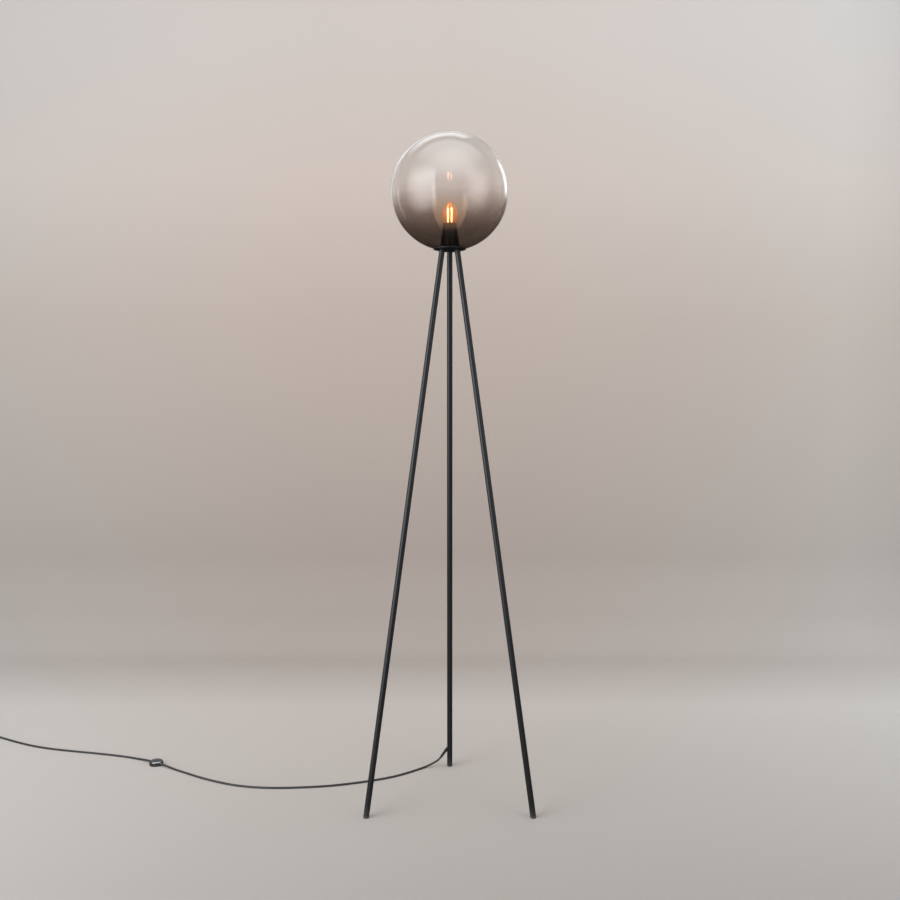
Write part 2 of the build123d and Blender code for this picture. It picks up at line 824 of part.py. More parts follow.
flange_radius = 10.2        # wider than the cover's mouth, so the button can't come out
flange_bottom = 7.6
flange_thickness = 1.2
button_inside = 7.9
button_ceiling = 9.6
button_edge = 11.2
with BuildPart() as switch_button:
    with BuildSketch(switch_upright):
        with BuildLine():
            dome = TangentArc((0, button_top), (button_radius, button_edge), tangent=(1, 0))
            Polyline(
                dome @ 1,
                (button_radius, flange_bottom + flange_thickness),
                (flange_radius, flange_bottom + flange_thickness),
                (flange_radius, flange_bottom),
                (button_inside, flange_bottom),
                (button_inside, button_ceiling),
                (0, button_ceiling),
                dome @ 0,
            )
        make_face()
    revolve(axis=switch_axis)
write(switch_button, "switch_button")

spring_radius = 2.6
spring_wire = 0.35
spring_turns = 4
spring_foot = switch_floor + spring_wire + 0.02
spring_height = button_ceiling - 2 * spring_wire - switch_floor - 0.04
with BuildPart() as switch_spring:
    with BuildLine() as spring_line:
        Helix(
            pitch=spring_height / spring_turns,
            height=spring_height,
            radius=spring_radius,
            center=switch_middle + Vector(0, 0, spring_foot),
        )
    with BuildSketch(Plane(origin=spring_line.line @ 0, z_dir=spring_line.line % 0)):
        Circle(spring_wire)
    sweep(path=spring_line.line, is_frenet=True)
write(switch_spring, "switch_spring")

# The bridge hangs in the button and joins the two fixed contacts when the button is down.
live_side = -5.0
contact_reach = 4.2
contact_radius = 0.6
bridge_bottom = 8.2
bridge_thickness = 0.4
bridge_width = 1.6
bridge_leg = 2.0
contact_drop = 0.8
contact_air = 0.1           # left between the contacts at the end of the travel
tab_thickness = 0.6
with BuildPart() as switch_bridge:
    with BuildSketch(switch_level.offset(bridge_bottom)):
        with Locations((0, live_side)):
            Rectangle(2 * contact_reach + bridge_width, bridge_width)
    extrude(amount=bridge_thickness)
    with BuildSketch(switch_level.offset(bridge_bottom)):
        with Locations((-bridge_leg, live_side), (bridge_leg, live_side)):
            Rectangle(1.0, bridge_width * 0.75)
    extrude(amount=button_ceiling - bridge_bottom)
    with BuildSketch(switch_level.offset(bridge_bottom)):
        with Locations((-contact_reach, live_side), (contact_reach, live_side)):
            Circle(contact_radius)
    extrude(amount=-contact_drop)
write(switch_bridge, "switch_bridge")

tab_top = switch_floor + tab_thickness
fixed_contact_top = bridge_bottom - contact_drop - button_travel - contact_air
with BuildPart() as switch_terminals:
    for hand in (-1, 1):
        with BuildSketch(switch_level.offset(switch_floor)):
            with Locations((hand * (contact_reach + contact_radius), live_side)):
                Rectangle(3.6, 2.4)
        extrude(amount=tab_thickness)
        with BuildSketch(switch_level.offset(tab_top)):
            with Locations((hand * contact_reach, live_side)):
                Rectangle(2 * contact_radius, bridge_width)
        extrude(amount=fixed_contact_top - tab_top)
write(switch_terminals, "switch_terminals")

screw_head_bottom = 0.15
screw_head_top = 0.9
screw_length = 6.35
with BuildPart() as switch_screws:
    with BuildSketch(switch_level.offset(screw_head_bottom)):
        with Locations(*boss_places):
            Circle(1.35)
    extrude(amount=screw_head_top - screw_head_bottom)
    with BuildSketch(switch_level.offset(screw_head_bottom)):
        with Locations(*boss_places):
            Circle(0.55)
    extrude(amount=screw_length)
    with BuildSketch(switch_level):
        with Locations(*boss_places):
            Rectangle(1.6, 0.35)
            Rectangle(0.35, 1.6)
    extrude(amount=0.5, mode=Mode.SUBTRACT)
write(switch_screws, "switch_screws")

# Each sleeve is held in the joint between base and cover by its inner collar.
with BuildPart() as switch_sleeves:
    for outer_end, hand in ((switch_in, 1), (switch_out, -1)):
        inward = switch_along * hand
        with BuildSketch(along_axis(outer_end, inward)):
            Circle(sleeve_tip_radius)
        with BuildSketch(along_axis(outer_end + inward * sleeve_taper, inward)):
            Circle(sleeve_radius)
        loft()
        with BuildSketch(along_axis(outer_end + inward * sleeve_taper, inward)):
            Circle(sleeve_radius)
        extrude(amount=switch_wall + 1.2)
        with BuildSketch(along_axis(outer_end, inward)):
            Circle(cord_radius + fit_gap)
        extrude(amount=2 * sleeve_length, mode=Mode.SUBTRACT)
write(switch_sleeves, "switch_sleeves")

stub_length = 8.0
with BuildPart() as switch_cord_ends:
    for outer_end, hand in ((switch_in, 1), (switch_out, -1)):
        with BuildSketch(along_axis(outer_end, switch_along * hand)):
            Circle(cord_radius)
        extrude(amount=stub_length)
write(switch_cord_ends, "switch_cord_ends")

# Inside the switch one core runs past the contacts and the other is cut and joined to them.
stub_face = sleeve_reach - stub_length
tab_end = contact_reach + contact_radius + 0.1
low = 3.1                   # height of the cut core where it meets its contact
high = 3.75                 # height of both cores where they leave the cord
core_routes = (
    ((-stub_face, -0.95, high), (-9.8, -0.95, high), (-7.6, live_side, low), (-tab_end, live_side, low)),
    ((stub_face, -0.95, high), (9.8, -0.95, high), (7.6, live_side, low), (tab_end, live_side, low)),
    (
        (-stub_face, 0.95, high),
        (-9.0, 0.95, high),
        (-4.0, 4.8, 3.4),
        (4.0, 4.8, 3.4),
        (9.0, 0.95, high),
        (stub_face, 0.95, high),
    ),
)
with BuildPart() as switch_cores:
    for places in core_routes:
        points = [switch_level.from_local_coords(Vector(*place)) for place in places]
        with BuildLine() as core_line:
            FilletPolyline(*points, radius=corner_radii(points))
        with BuildSketch(Plane(origin=core_line.line @ 0, z_dir=core_line.line % 0)):
            Circle(core_radius * 0.9)
        sweep(path=core_line.line)
write(switch_cores, "switch_cores")

# ---------------------------------------------------------------- plug

plug_face_distance = relief_length + plug_length
plug_frame = Plane(origin=relief_end, x_dir=plug_along.cross(Vector(0, 0, 1)), z_dir=plug_along)
pin_places = [(-pin_spacing / 2, 0), (pin_spacing / 2, 0)]
pin_root = 12.0             # length of pin held in the body
sleeve_root = 6.0
pin_sleeve_radius = pin_radius - 0.25
pin_neck_radius = pin_radius - 0.6

# The plug's outline has six sides, with the wide flats above and below. From the relief to the
# face it grows through these sections: share of the length, width, thickness, flat, corner.
plug_sections = (
    (0.0, 15.0, 9.6, 9.0, 1.4),
    (0.5, 29.0, 12.4, 20.0, 2.0),
    (1.0, plug_width, plug_thickness, 26.0, 2.0),
)
with BuildPart() as plug_body:
    for share, width, thickness, flat, corner in plug_sections:
        with BuildSketch(plug_frame.offset(relief_length + plug_length * share)) as section:
            Polygon(
                (width / 2, 0),
                (flat / 2, thickness / 2),
                (-flat / 2, thickness / 2),
                (-width / 2, 0),
                (-flat / 2, -thickness / 2),
                (flat / 2, -thickness / 2),
            )
            fillet(section.vertices(), radius=corner)
    loft(ruled=True)
    with BuildSketch(plug_frame.offset(plug_face_distance)):
        with Locations(*pin_places):
            Circle(pin_sleeve_radius + fit_gap)
    extrude(amount=-pin_root, mode=Mode.SUBTRACT)
write(plug_body, "plug_body")

with BuildPart() as plug_sleeves:
    with BuildSketch(plug_frame.offset(plug_face_distance - sleeve_root)):
        with Locations(*pin_places):
            Circle(pin_sleeve_radius)
            Circle(pin_neck_radius, mode=Mode.SUBTRACT)
    extrude(amount=sleeve_root + pin_sleeve_length)
write(plug_sleeves, "plug_sleeves")

with BuildPart() as plug_pins:
    with BuildSketch(plug_frame.offset(plug_face_distance - pin_root)):
        with Locations(*pin_places):
            Circle(pin_neck_radius - fit_gap)
    extrude(amount=pin_root + pin_sleeve_length)
    with BuildSketch(plug_frame.offset(plug_face_distance + pin_sleeve_length)):
        with Locations(*pin_places):
            Circle(pin_radius)
    extrude(amount=pin_length - pin_sleeve_length)
    fillet(plug_pins.faces().sort_by(Axis(relief_end, plug_along))[-2:].edges(), radius=1.0)
write(plug_pins, "plug_pins")

# The relief is ribbed: ring slots leave a thin neck that grows towards the plug.
relief_tip_radius = 2.95
relief_root_radius = 4.4
relief_slots = 5
slot_width = 1.2
slot_pitch = 3.6
with BuildPart() as plug_relief:
    with BuildSketch(plug_frame):
        Circle(relief_tip_radius)
    with BuildSketch(plug_frame.offset(relief_length)):
        Circle(relief_root_radius)
    loft()
    for slot in range(relief_slots):
        with BuildSketch(plug_frame.offset(slot_pitch * slot + 4.0)):
            Circle(relief_root_radius * 2)
            Circle(cord_radius + 0.25 * (slot + 1), mode=Mode.SUBTRACT)
        extrude(amount=slot_width, mode=Mode.SUBTRACT)
write(plug_relief, "plug_relief")

pin_tip = plug_frame.from_local_coords(Vector(0, 0, plug_face_distance + pin_length))
print("leg exit", [round(value, 1) for value in cord_exit])
print("switch", [round(value, 1) for value in switch_middle])
print("plug pin tips", [round(value, 1) for value in pin_tip])
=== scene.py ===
import math

import bmesh
import bpy
from mathutils import Matrix, Vector


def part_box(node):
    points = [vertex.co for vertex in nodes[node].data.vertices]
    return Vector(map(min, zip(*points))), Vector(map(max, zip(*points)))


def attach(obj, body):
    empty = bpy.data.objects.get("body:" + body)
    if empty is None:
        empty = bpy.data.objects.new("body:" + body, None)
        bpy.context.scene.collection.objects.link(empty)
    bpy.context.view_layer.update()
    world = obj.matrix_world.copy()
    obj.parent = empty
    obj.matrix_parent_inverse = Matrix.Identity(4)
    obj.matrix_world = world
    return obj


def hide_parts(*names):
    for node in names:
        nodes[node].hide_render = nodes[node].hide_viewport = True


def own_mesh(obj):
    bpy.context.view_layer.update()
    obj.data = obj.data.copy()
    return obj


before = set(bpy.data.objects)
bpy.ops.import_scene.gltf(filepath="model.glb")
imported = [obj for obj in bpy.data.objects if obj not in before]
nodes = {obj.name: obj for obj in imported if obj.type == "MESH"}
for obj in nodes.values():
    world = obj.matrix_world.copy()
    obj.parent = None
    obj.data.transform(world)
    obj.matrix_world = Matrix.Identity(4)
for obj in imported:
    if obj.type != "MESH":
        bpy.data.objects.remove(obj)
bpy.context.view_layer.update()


# ------------------------------------------------------------------ studio
# A beige-grey studio: a painted floor that runs up into a wall behind the lamp, tall soft boxes
# at both sides and one overhead. The camera stands level, well below the globe.

camera_data = bpy.data.cameras.new("studio_camera")
camera_data.lens = 40.4
camera_data.sensor_width = 36.0
camera_data.shift_y = -0.0508
camera = bpy.data.objects.new("studio_camera", camera_data)
camera.location = (0.0006, -2.147, 0.839)
camera.rotation_euler = (math.radians(90), 0, 0)
bpy.context.scene.collection.objects.link(camera)
bpy.context.scene.camera = camera

wall_distance = 1.45
wall_height = 4.2
sweep_radius = 0.30
sweep_steps = 16
room_half_width = 9.0
room_front = -9.0


def add_node(tree, kind, **settings):
    """A node of that kind in the tree, with its settings."""
    node = tree.nodes.new(kind)
    for name, value in settings.items():
        setattr(node, name, value)
    return node


def set_inputs(node, **values):
    """Sets a node's sockets by name, with underscores for spaces."""
    for name, value in values.items():
        node.inputs[name.replace("_", " ")].default_value = value
    return node


def new_material(name):
    """An empty node material with its output and a Principled surface."""
    material = bpy.data.materials.new(name)
    material.use_nodes = True
    tree = material.node_tree
    surface = tree.nodes["Principled BSDF"]
    return material, tree, surface


def join(tree, *pairs):
    """Links pairs of sockets, each from an output to an input."""
    for source, target in pairs:
        tree.links.new(source, target)


def calculate(tree, operation, *values, clamp=False):
    """A sum of numbers. values set its inputs in order, and None leaves one to be linked."""
    node = add_node(tree, "ShaderNodeMath", operation=operation, use_clamp=clamp)
    for socket, value in zip(node.inputs, values):
        if value is not None:
            socket.default_value = value
    return node


def ease(tree, start, end, **values):
    """A value that goes smoothly from 0 to 1 while its input goes from start to end."""
    node = add_node(tree, "ShaderNodeMapRange", interpolation_type="SMOOTHSTEP")
    return set_inputs(node, From_Min=start, From_Max=end, **values)


def mix_colours(tree, first=None, second=None, blend="MIX"):
    """A mix of two colours. One that isn't given is linked."""
    node = add_node(tree, "ShaderNodeMix", data_type="RGBA", blend_type=blend)
    for socket, colour in (("A", first), ("B", second)):
        if colour:
            node.inputs[socket].default_value = (*colour, 1)
    return node


def colour_ramp(tree, *steps, interpolation="LINEAR"):
    """A colour ramp. Each step is a position and a colour."""
    node = add_node(tree, "ShaderNodeValToRGB")
    ramp = node.color_ramp
    ramp.interpolation = interpolation
    for stop, (position, colour) in zip(ramp.elements, (steps[0], steps[-1])):
        stop.position = position
        stop.color = (*colour, 1)
    for position, colour in steps[1:-1]:
        ramp.elements.new(position).color = (*colour, 1)
    return node


def noise(tree, **values):
    return set_inputs(add_node(tree, "ShaderNodeTexNoise"), **values)


def bump(tree, strength, distance):
    """Relief from a height. distance is how deep the relief is."""
    return set_inputs(add_node(tree, "ShaderNodeBump"), Strength=strength, Distance=distance)


def share_of(tree, start, end):
    """How far its input has come from start to end, from 0 to 1."""
    return set_inputs(add_node(tree, "ShaderNodeMapRange"), From_Min=start, From_Max=end)


def deselect_all():
    for piece in bpy.context.selected_objects:
        piece.select_set(False)


def select_where(parts, test):
    """In edit mode, selects only the verts, edges or faces that pass the test."""
    bpy.ops.mesh.select_all(action="DESELECT")
    mesh = bpy.context.active_object.data
    drawn = bmesh.from_edit_mesh(mesh)
    for part in getattr(drawn, parts):
        part.select = test(part)
    bmesh.update_edit_mesh(mesh)


def bring_up(name, material):
    """Names the object just added, gives it its material and puts its place in its mesh."""
    piece = bpy.context.active_object
    piece.name = name
    piece.data.name = name
    bpy.ops.object.transform_apply(location=True, rotation=True, scale=True)
    piece.data.materials.clear()
    piece.data.materials.append(material)
    return piece


# The backdrop's colour carries painted light and shade: its tone rises and falls along the floor
# and up the wall, wobbled by drifting clouds, as painted falloff of the light, and it gets paler
# and cooler towards the sides as a painted vignette. From behind it can be looked through.
run_start, run_end = -0.35, 3.65
cloud_drift = 0.12
side_curve, side_lean = 0.39, 0.16
backdrop_painted_light, tree, surface = new_material("backdrop_painted_light")
set_inputs(surface, Roughness=0.85, Specular_IOR_Level=0.2)
place = add_node(tree, "ShaderNodeTexCoord")
parts = add_node(tree, "ShaderNodeSeparateXYZ")
clouds = noise(tree, Scale=0.9, Detail=4.0, Roughness=0.55)
run = calculate(tree, "ADD")
drifting = calculate(tree, "MULTIPLY_ADD", None, cloud_drift)
along_run = share_of(tree, run_start, run_end)
# Painted light and shade: the ramp's lighter and darker bands along the floor and up the wall stand in
# for the fall of the light.
painted_light_falloff = colour_ramp(
    tree,
    (0.000, (0.370, 0.350, 0.335)),
    (0.270, (0.560, 0.530, 0.505)),
    (0.475, (0.420, 0.375, 0.350)),
    (0.750, (0.510, 0.440, 0.400)),
    (0.880, (0.585, 0.515, 0.480)),
    (1.000, (0.575, 0.530, 0.510)),
)
# Painted light: the sides are made paler and cooler, a painted vignette.
squared = calculate(tree, "MULTIPLY")
leaning = calculate(tree, "MULTIPLY", None, side_lean)
painted_side_mask = calculate(tree, "MULTIPLY_ADD", None, side_curve, clamp=True)
painted_side_light = mix_colours(tree, second=(1.30, 1.40, 1.45), blend="MULTIPLY")
behind = add_node(tree, "ShaderNodeNewGeometry")
see_through = add_node(tree, "ShaderNodeBsdfTransparent")
one_sided = add_node(tree, "ShaderNodeMixShader")
join(
    tree,
    (place.outputs["Object"], parts.inputs[0]),
    (place.outputs["Object"], clouds.inputs["Vector"]),
    (parts.outputs["Y"], run.inputs[0]),
    (parts.outputs["Z"], run.inputs[1]),
    (clouds.outputs["Fac"], drifting.inputs[0]),
    (run.outputs[0], drifting.inputs[2]),
    (drifting.outputs[0], along_run.inputs["Value"]),
    (along_run.outputs["Result"], painted_light_falloff.inputs["Fac"]),
    (parts.outputs["X"], squared.inputs[0]),
    (parts.outputs["X"], squared.inputs[1]),
    (parts.outputs["X"], leaning.inputs[0]),
    (squared.outputs[0], painted_side_mask.inputs[0]),
    (leaning.outputs[0], painted_side_mask.inputs[2]),
    (painted_side_mask.outputs[0], painted_side_light.inputs["Factor"]),
    (painted_light_falloff.outputs["Color"], painted_side_light.inputs["A"]),
    (painted_side_light.outputs["Result"], surface.inputs["Base Color"]),
    (behind.outputs["Backfacing"], one_sided.inputs["Fac"]),
    (surface.outputs["BSDF"], one_sided.inputs[1]),
    (see_through.outputs["BSDF"], one_sided.inputs[2]),
    (one_sided.outputs["Shader"], tree.nodes["Material Output"].inputs["Surface"]),
)

deselect_all()
bpy.ops.mesh.primitive_plane_add(size=1, location=(0, 0, 0))
floor = bring_up("studio_floor", backdrop_painted_light)
for vertex in floor.data.vertices:
    vertex.co.x *= 2 * room_half_width
    vertex.co.y = room_front if vertex.co.y < 0 else wall_distance - sweep_radius
bpy.ops.object.mode_set(mode="EDIT")
select_where("edges", lambda edge: all(vertex.co.y > 0 for vertex in edge.verts))
for step in range(sweep_steps):
    turned = math.radians(90) * (step + 0.5) / sweep_steps
    stride = 2 * sweep_radius * math.sin(math.radians(45) / sweep_steps)
    bpy.ops.mesh.extrude_edges_move(
        TRANSFORM_OT_translate={"value": (0, stride * math.cos(turned), stride * math.sin(turned))}
    )
bpy.ops.mesh.extrude_edges_move(TRANSFORM_OT_translate={"value": (0, 0, wall_height)})
bpy.ops.object.mode_set(mode="OBJECT")
bpy.ops.object.shade_smooth()
floor.visible_glossy = False

# The air of the room gives its even light to matt surfaces and through glass. In glossy surfaces
# the room before the lamp shows brown, and behind the lamp it is pale above and nearly black below.
room_light = 0.55
room_tint = (0.80, 0.77, 0.75)
world = bpy.data.worlds.new("studio_air")
world.use_nodes = True
tree = world.node_tree
air = tree.nodes["Background"]
ray = add_node(tree, "ShaderNodeLightPath")
seen = calculate(tree, "MAXIMUM")
seen_through = calculate(tree, "MAXIMUM")
way = add_node(tree, "ShaderNodeTexCoord")
parts = add_node(tree, "ShaderNodeSeparateXYZ")
up = ease(tree, -0.02, 0.18)
back = ease(tree, 0.0, 0.5)
behind_lamp = mix_colours(tree, (0.020, 0.018, 0.017), (0.36, 0.355, 0.355))
before_lamp = mix_colours(tree, (0.24, 0.19, 0.165), (0.12, 0.115, 0.11))
in_gloss = mix_colours(tree)
air_colour = mix_colours(tree, second=[share * room_light for share in room_tint])
air.inputs["Strength"].default_value = 1.0
join(
    tree,
    (way.outputs["Generated"], parts.inputs[0]),
    (parts.outputs["Z"], up.inputs["Value"]),
    (parts.outputs["Y"], back.inputs["Value"]),
    (up.outputs["Result"], behind_lamp.inputs["Factor"]),
    (up.outputs["Result"], before_lamp.inputs["Factor"]),
    (back.outputs["Result"], in_gloss.inputs["Factor"]),
    (before_lamp.outputs["Result"], in_gloss.inputs["A"]),
    (behind_lamp.outputs["Result"], in_gloss.inputs["B"]),
    (ray.outputs["Is Diffuse Ray"], seen.inputs[0]),
    (ray.outputs["Is Camera Ray"], seen.inputs[1]),
    (seen.outputs[0], seen_through.inputs[0]),
    (ray.outputs["Is Transmission Ray"], seen_through.inputs[1]),
    (seen_through.outputs[0], air_colour.inputs["Factor"]),
    (in_gloss.outputs["Result"], air_colour.inputs["A"]),
    (air_colour.outputs["Result"], air.inputs["Color"]),
)
bpy.context.scene.world = world
bpy.context.scene.view_settings.view_transform = "Standard"

globe_middle = Vector((0, 0, 1.291))
to_camera = (camera.location - globe_middle).normalized()


def from_globe(azimuth, elevation, distance):
    """A point seen from the globe's middle. Azimuth 0 is towards the camera, 90 is right."""
    turned, raised = math.radians(azimuth), math.radians(elevation)
    level = distance * math.cos(raised)
    offset = Vector((level * math.sin(turned), -level * math.cos(turned), distance * math.sin(raised)))
    return globe_middle + offset


def soft_box(name, centre, size, radiance, colour=(1.0, 0.98, 0.96), fade=None, aim=globe_middle):
    """A soft box aimed at a point. fade gives how softly its left, right, low and top edge end."""
    data = bpy.data.lights.new(name, "AREA")
    data.shape = "RECTANGLE"
    data.size, data.size_y = size
    data.energy = radiance * math.pi * size[0] * size[1]
    data.color = colour
    if fade:
        data.use_nodes = True
        tree = data.node_tree
        spot = add_node(tree, "ShaderNodeNewGeometry")
        across = add_node(tree, "ShaderNodeSeparateXYZ")
        tree.links.new(spot.outputs["Parametric"], across.inputs[0])
        strength = None
        for edge, softness in enumerate(fade):
            rise = ease(tree, 1.0, 1.0 - softness) if edge % 2 else ease(tree, 0.0, softness)
            tree.links.new(across.outputs[edge // 2], rise.inputs["Value"])
            if strength:
                product = calculate(tree, "MULTIPLY")
                join(tree, (strength, product.inputs[0]), (rise.outputs["Result"], product.inputs[1]))
                strength = product.outputs[0]
            else:
                strength = rise.outputs["Result"]
        tree.links.new(strength, tree.nodes["Emission"].inputs["Strength"])
    lamp = bpy.data.objects.new(name, data)
    lamp.location = centre
    lamp.rotation_euler = (aim - Vector(centre)).to_track_quat("-Z", "Y").to_euler()
    lamp.visible_camera = False
    bpy.context.scene.collection.objects.link(lamp)
    return lamp


top_box = soft_box("top_box", (0, -0.5, 3.3), (3.0, 2.4), 2.0)
top_box.visible_glossy = False
top_box.visible_transmission = False
left_colour = (0.95, 0.98, 1.0)
soft_box("left_box", from_globe(-62, -1, 1.6), (2.3, 3.2), 3.6, left_colour, (0.6, 0.04, 0.36, 0.4))
soft_box("right_box", from_globe(56, 6, 1.8), (2.2, 2.8), 1.3, (0.98, 0.99, 1.0), (0.4, 0.5, 0.4, 0.4))


def rim_card(name, clock, spread, size, radiance, fade, shift=0.0, distance=1.4):
    """A card behind the globe that only its rim shows. clock is the angle from the top, spread the
    angle off the view. fade gives how softly its clockwise, other, inner and outer edge end."""
    away = -to_camera
    above = (Vector((0, 0, 1)) - away * away.z).normalized()
    right = away.cross(above)
    around, off = math.radians(clock), math.radians(spread)
    sideways = right * math.sin(around) + above * math.cos(around)
    towards = away * math.cos(off) + sideways * math.sin(off)
    outwards = sideways * math.cos(off) - away * math.sin(off)
    round_back = outwards.cross(towards)
    centre = globe_middle + towards * distance + round_back * shift
    card = soft_box(name, centre, size, radiance, left_colour, fade)
    card.rotation_euler = Matrix((round_back, outwards, towards)).transposed().to_euler()
    return card


# These only draw the soft glow and the bright crescents on the globe. The glows and the pale room
# are mirrored in it and not seen through it, so that they don't show from behind.
rim_cards = (
    ("left_rim", -82, 23.5, (0.95, 0.50), 0.42, (0.3, 0.3, 0.2, 0.4)),
    ("top_rim", -20, 24.0, (1.10, 0.56), 0.32, (0.2, 0.2, 0.2, 0.2)),
    ("top_band", -5, 45.0, (1.56, 0.50), 1.05, (0.08, 0.45, 0.3, 0.06), 0.29),
    ("right_rim", 75, 22.0, (0.80, 0.35), 0.40, (0.3, 0.3, 0.3, 0.3)),
    ("right_band", 76, 41.0, (0.76, 0.45), 2.0, (0.3, 0.3, 0.3, 0.3)),
    ("left_line", -98, 46.5, (0.85, 0.05), 1.1, (0.4, 0.4, 0.3, 0.3)),
)
glow_boxes = (
    ("pale_room", from_globe(0, 55, 2.0), (5.5, 5.0), 2.2, (0.82, 0.93, 1.0), (0.3, 0.3, 0.35, 0.2)),
    ("room_glow", from_globe(1, -8, 1.3), (1.8, 1.5), 2.6, (1.0, 0.88, 0.80), (0.05, 0.45, 0.5, 0.5)),
)
mirrored = [soft_box("top_glow", from_globe(4, 50, 1.8), (3.4, 3.0), 3.4, fade=(0.5, 0.5, 0.5, 0.5))]
seen_past = [rim_card(*card) for card in rim_cards]
mirrored += [soft_box(*box) for box in glow_boxes]

# The warm card is the lit floor and wall in front of the lamp, which narrow towards its foot.
card_narrow, card_widening = 0.16, 0.32
card_edge = 0.02
warm_card = soft_box("warm_card", from_globe(0, -50, 1.0), (1.75, 1.74), 3.6, (1.0, 0.58, 0.30))
warm_card.visible_diffuse = False
warm_card.data.use_nodes = True
mirrored.append(warm_card)
for lamp in mirrored:
    lamp.visible_transmission = False
globe_lights = mirrored + seen_past
tree = warm_card.data.node_tree
spot = add_node(tree, "ShaderNodeNewGeometry")
across = add_node(tree, "ShaderNodeSeparateXYZ")
off_middle = calculate(tree, "SUBTRACT", None, 0.5)
distance = calculate(tree, "ABSOLUTE")
half_width = calculate(tree, "MULTIPLY_ADD", None, card_widening, card_narrow)
inside = calculate(tree, "SUBTRACT")
edge = share_of(tree, 0.0, card_edge)
top_fade = ease(tree, 0.55, 1.0, To_Min=1.0, To_Max=0.0)
foot_fade = ease(tree, 0.0, 0.40)
strength = calculate(tree, "MULTIPLY")
fainter = calculate(tree, "MULTIPLY")
join(
    tree,
    (spot.outputs["Parametric"], across.inputs[0]),
    (across.outputs["X"], off_middle.inputs[0]),
    (off_middle.outputs[0], distance.inputs[0]),
    (across.outputs["Y"], half_width.inputs[0]),
    (half_width.outputs[0], inside.inputs[0]),
    (distance.outputs[0], inside.inputs[1]),
    (inside.outputs[0], edge.inputs["Value"]),
    (across.outputs["Y"], top_fade.inputs["Value"]),
    (edge.outputs["Result"], strength.inputs[0]),
    (top_fade.outputs["Result"], strength.inputs[1]),
    (across.outputs["Y"], foot_fade.inputs["Value"]),
    (strength.outputs[0], fainter.inputs[0]),
    (foot_fade.outputs["Result"], fainter.inputs[1]),
    (fainter.outputs[0], tree.nodes["Emission"].inputs["Strength"]),
)


# ------------------------------------------------------------------ cord
# A round two-core mains lead in a dark satin sheath, extruded in one length. It leaves the rear
# leg through a bush, crosses the floor to the foot switch and runs on to a coil and its plug.

cord_diameter = 0.0045
clear_of_floor = 0.00005
ground = cord_diameter / 2 + clear_of_floor
switch_centre = Vector((-0.683, 0.204, 0.0))
switch_heading = math.radians(146.5)
switch_along = Vector((math.cos(switch_heading), math.sin(switch_heading), 0))
switch_split = 0.0046
sleeve_reach = 0.0197
switch_in = switch_centre - switch_along * sleeve_reach + Vector((0, 0, switch_split))
switch_out = switch_centre + switch_along * sleeve_reach + Vector((0, 0, switch_split))

bush_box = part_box("cord_bush")
cord_exit = Vector((-0.01989, 0.18915, 0.02404))
exit_direction = Vector((-0.585, 0.03, -0.8105)).normalized()

lead_route = [
    cord_exit,
    cord_exit + exit_direction * 0.008,
    (-0.037, 0.190, 0.0093),
    (-0.051, 0.1865, 0.0036),
    (-0.067, 0.173, ground),
    (-0.090, 0.151, ground),
    (-0.123, 0.124, ground),
    (-0.166, 0.1015, ground),
    (-0.215, 0.082, ground),
    (-0.266, 0.067, ground),
    (-0.320, 0.059, ground),
    (-0.375, 0.0555, ground),
    (-0.427, 0.059, ground),
    (-0.475, 0.072, ground),
    (-0.521, 0.0945, ground),
    (-0.564, 0.1205, ground),
    (-0.604, 0.1495, ground),
    (-0.632, 0.1696, ground),
    switch_in - switch_along * 0.014,
    switch_in,
]

coil_start = Vector((-1.165, 0.414, ground))
coil_heading = math.radians(147.1)
coil_along = Vector((math.cos(coil_heading), math.sin(coil_heading), 0))
coil_left = Vector((-math.sin(coil_heading), math.cos(coil_heading), 0))
coil_arcs = [(0.032, 0), (0.0295, 0), (0.027, 0), (0.0245, 0), (0.022, 0.005)]
coil_arcs += [(0.0245, 0), (0.027, 0), (0.0295, 0)]
points_per_half_turn = 8
plug_heading = math.radians(128.0)
plug_along = Vector((math.cos(plug_heading), math.sin(plug_heading), 0))
plug_axis_height = 0.00685

second_route = [
    switch_out,
    switch_out + switch_along * 0.014,
    (-0.734, 0.2363, ground),
    (-0.762, 0.2485, ground),
    (-0.801, 0.2615, ground),
    (-0.852, 0.2755, ground),
    (-0.905, 0.2885, ground),
    (-0.956, 0.302, ground),
    (-1.002, 0.3185, ground),
    (-1.045, 0.339, ground),
    (-1.087, 0.364, ground),
    coil_start - coil_along * 0.044,
    coil_start,
]
here = coil_start + coil_along * cord_diameter
ahead = 1
for radius, climb in coil_arcs:
    middle = here + coil_left * (radius * ahead)
    half_step = math.pi / points_per_half_turn
    reach = radius / math.cos(half_step / 2)
    for count in range(points_per_half_turn):
        angle = half_step * (count + 0.5)
        sideways = -math.cos(angle) * ahead
        along = math.sin(angle) * ahead
        lift = climb * (count + 0.5) / points_per_half_turn
        second_route.append(
            middle + coil_left * (reach * sideways) + coil_along * (reach * along) + Vector((0, 0, lift))
        )
    here = here + coil_left * (2 * radius * ahead) + Vector((0, 0, climb))
    ahead = -ahead
coil_exit = here + coil_along * cord_diameter
relief_end = coil_exit + coil_along * 0.030 + plug_along * 0.022
relief_end.z = plug_axis_height
second_route += [
    coil_exit,
    coil_exit + coil_along * 0.011,
    coil_exit + coil_along * 0.025 + plug_along * 0.006 - Vector((0, 0, 0.0003)),
    relief_end - plug_along * 0.010,
    relief_end,
]


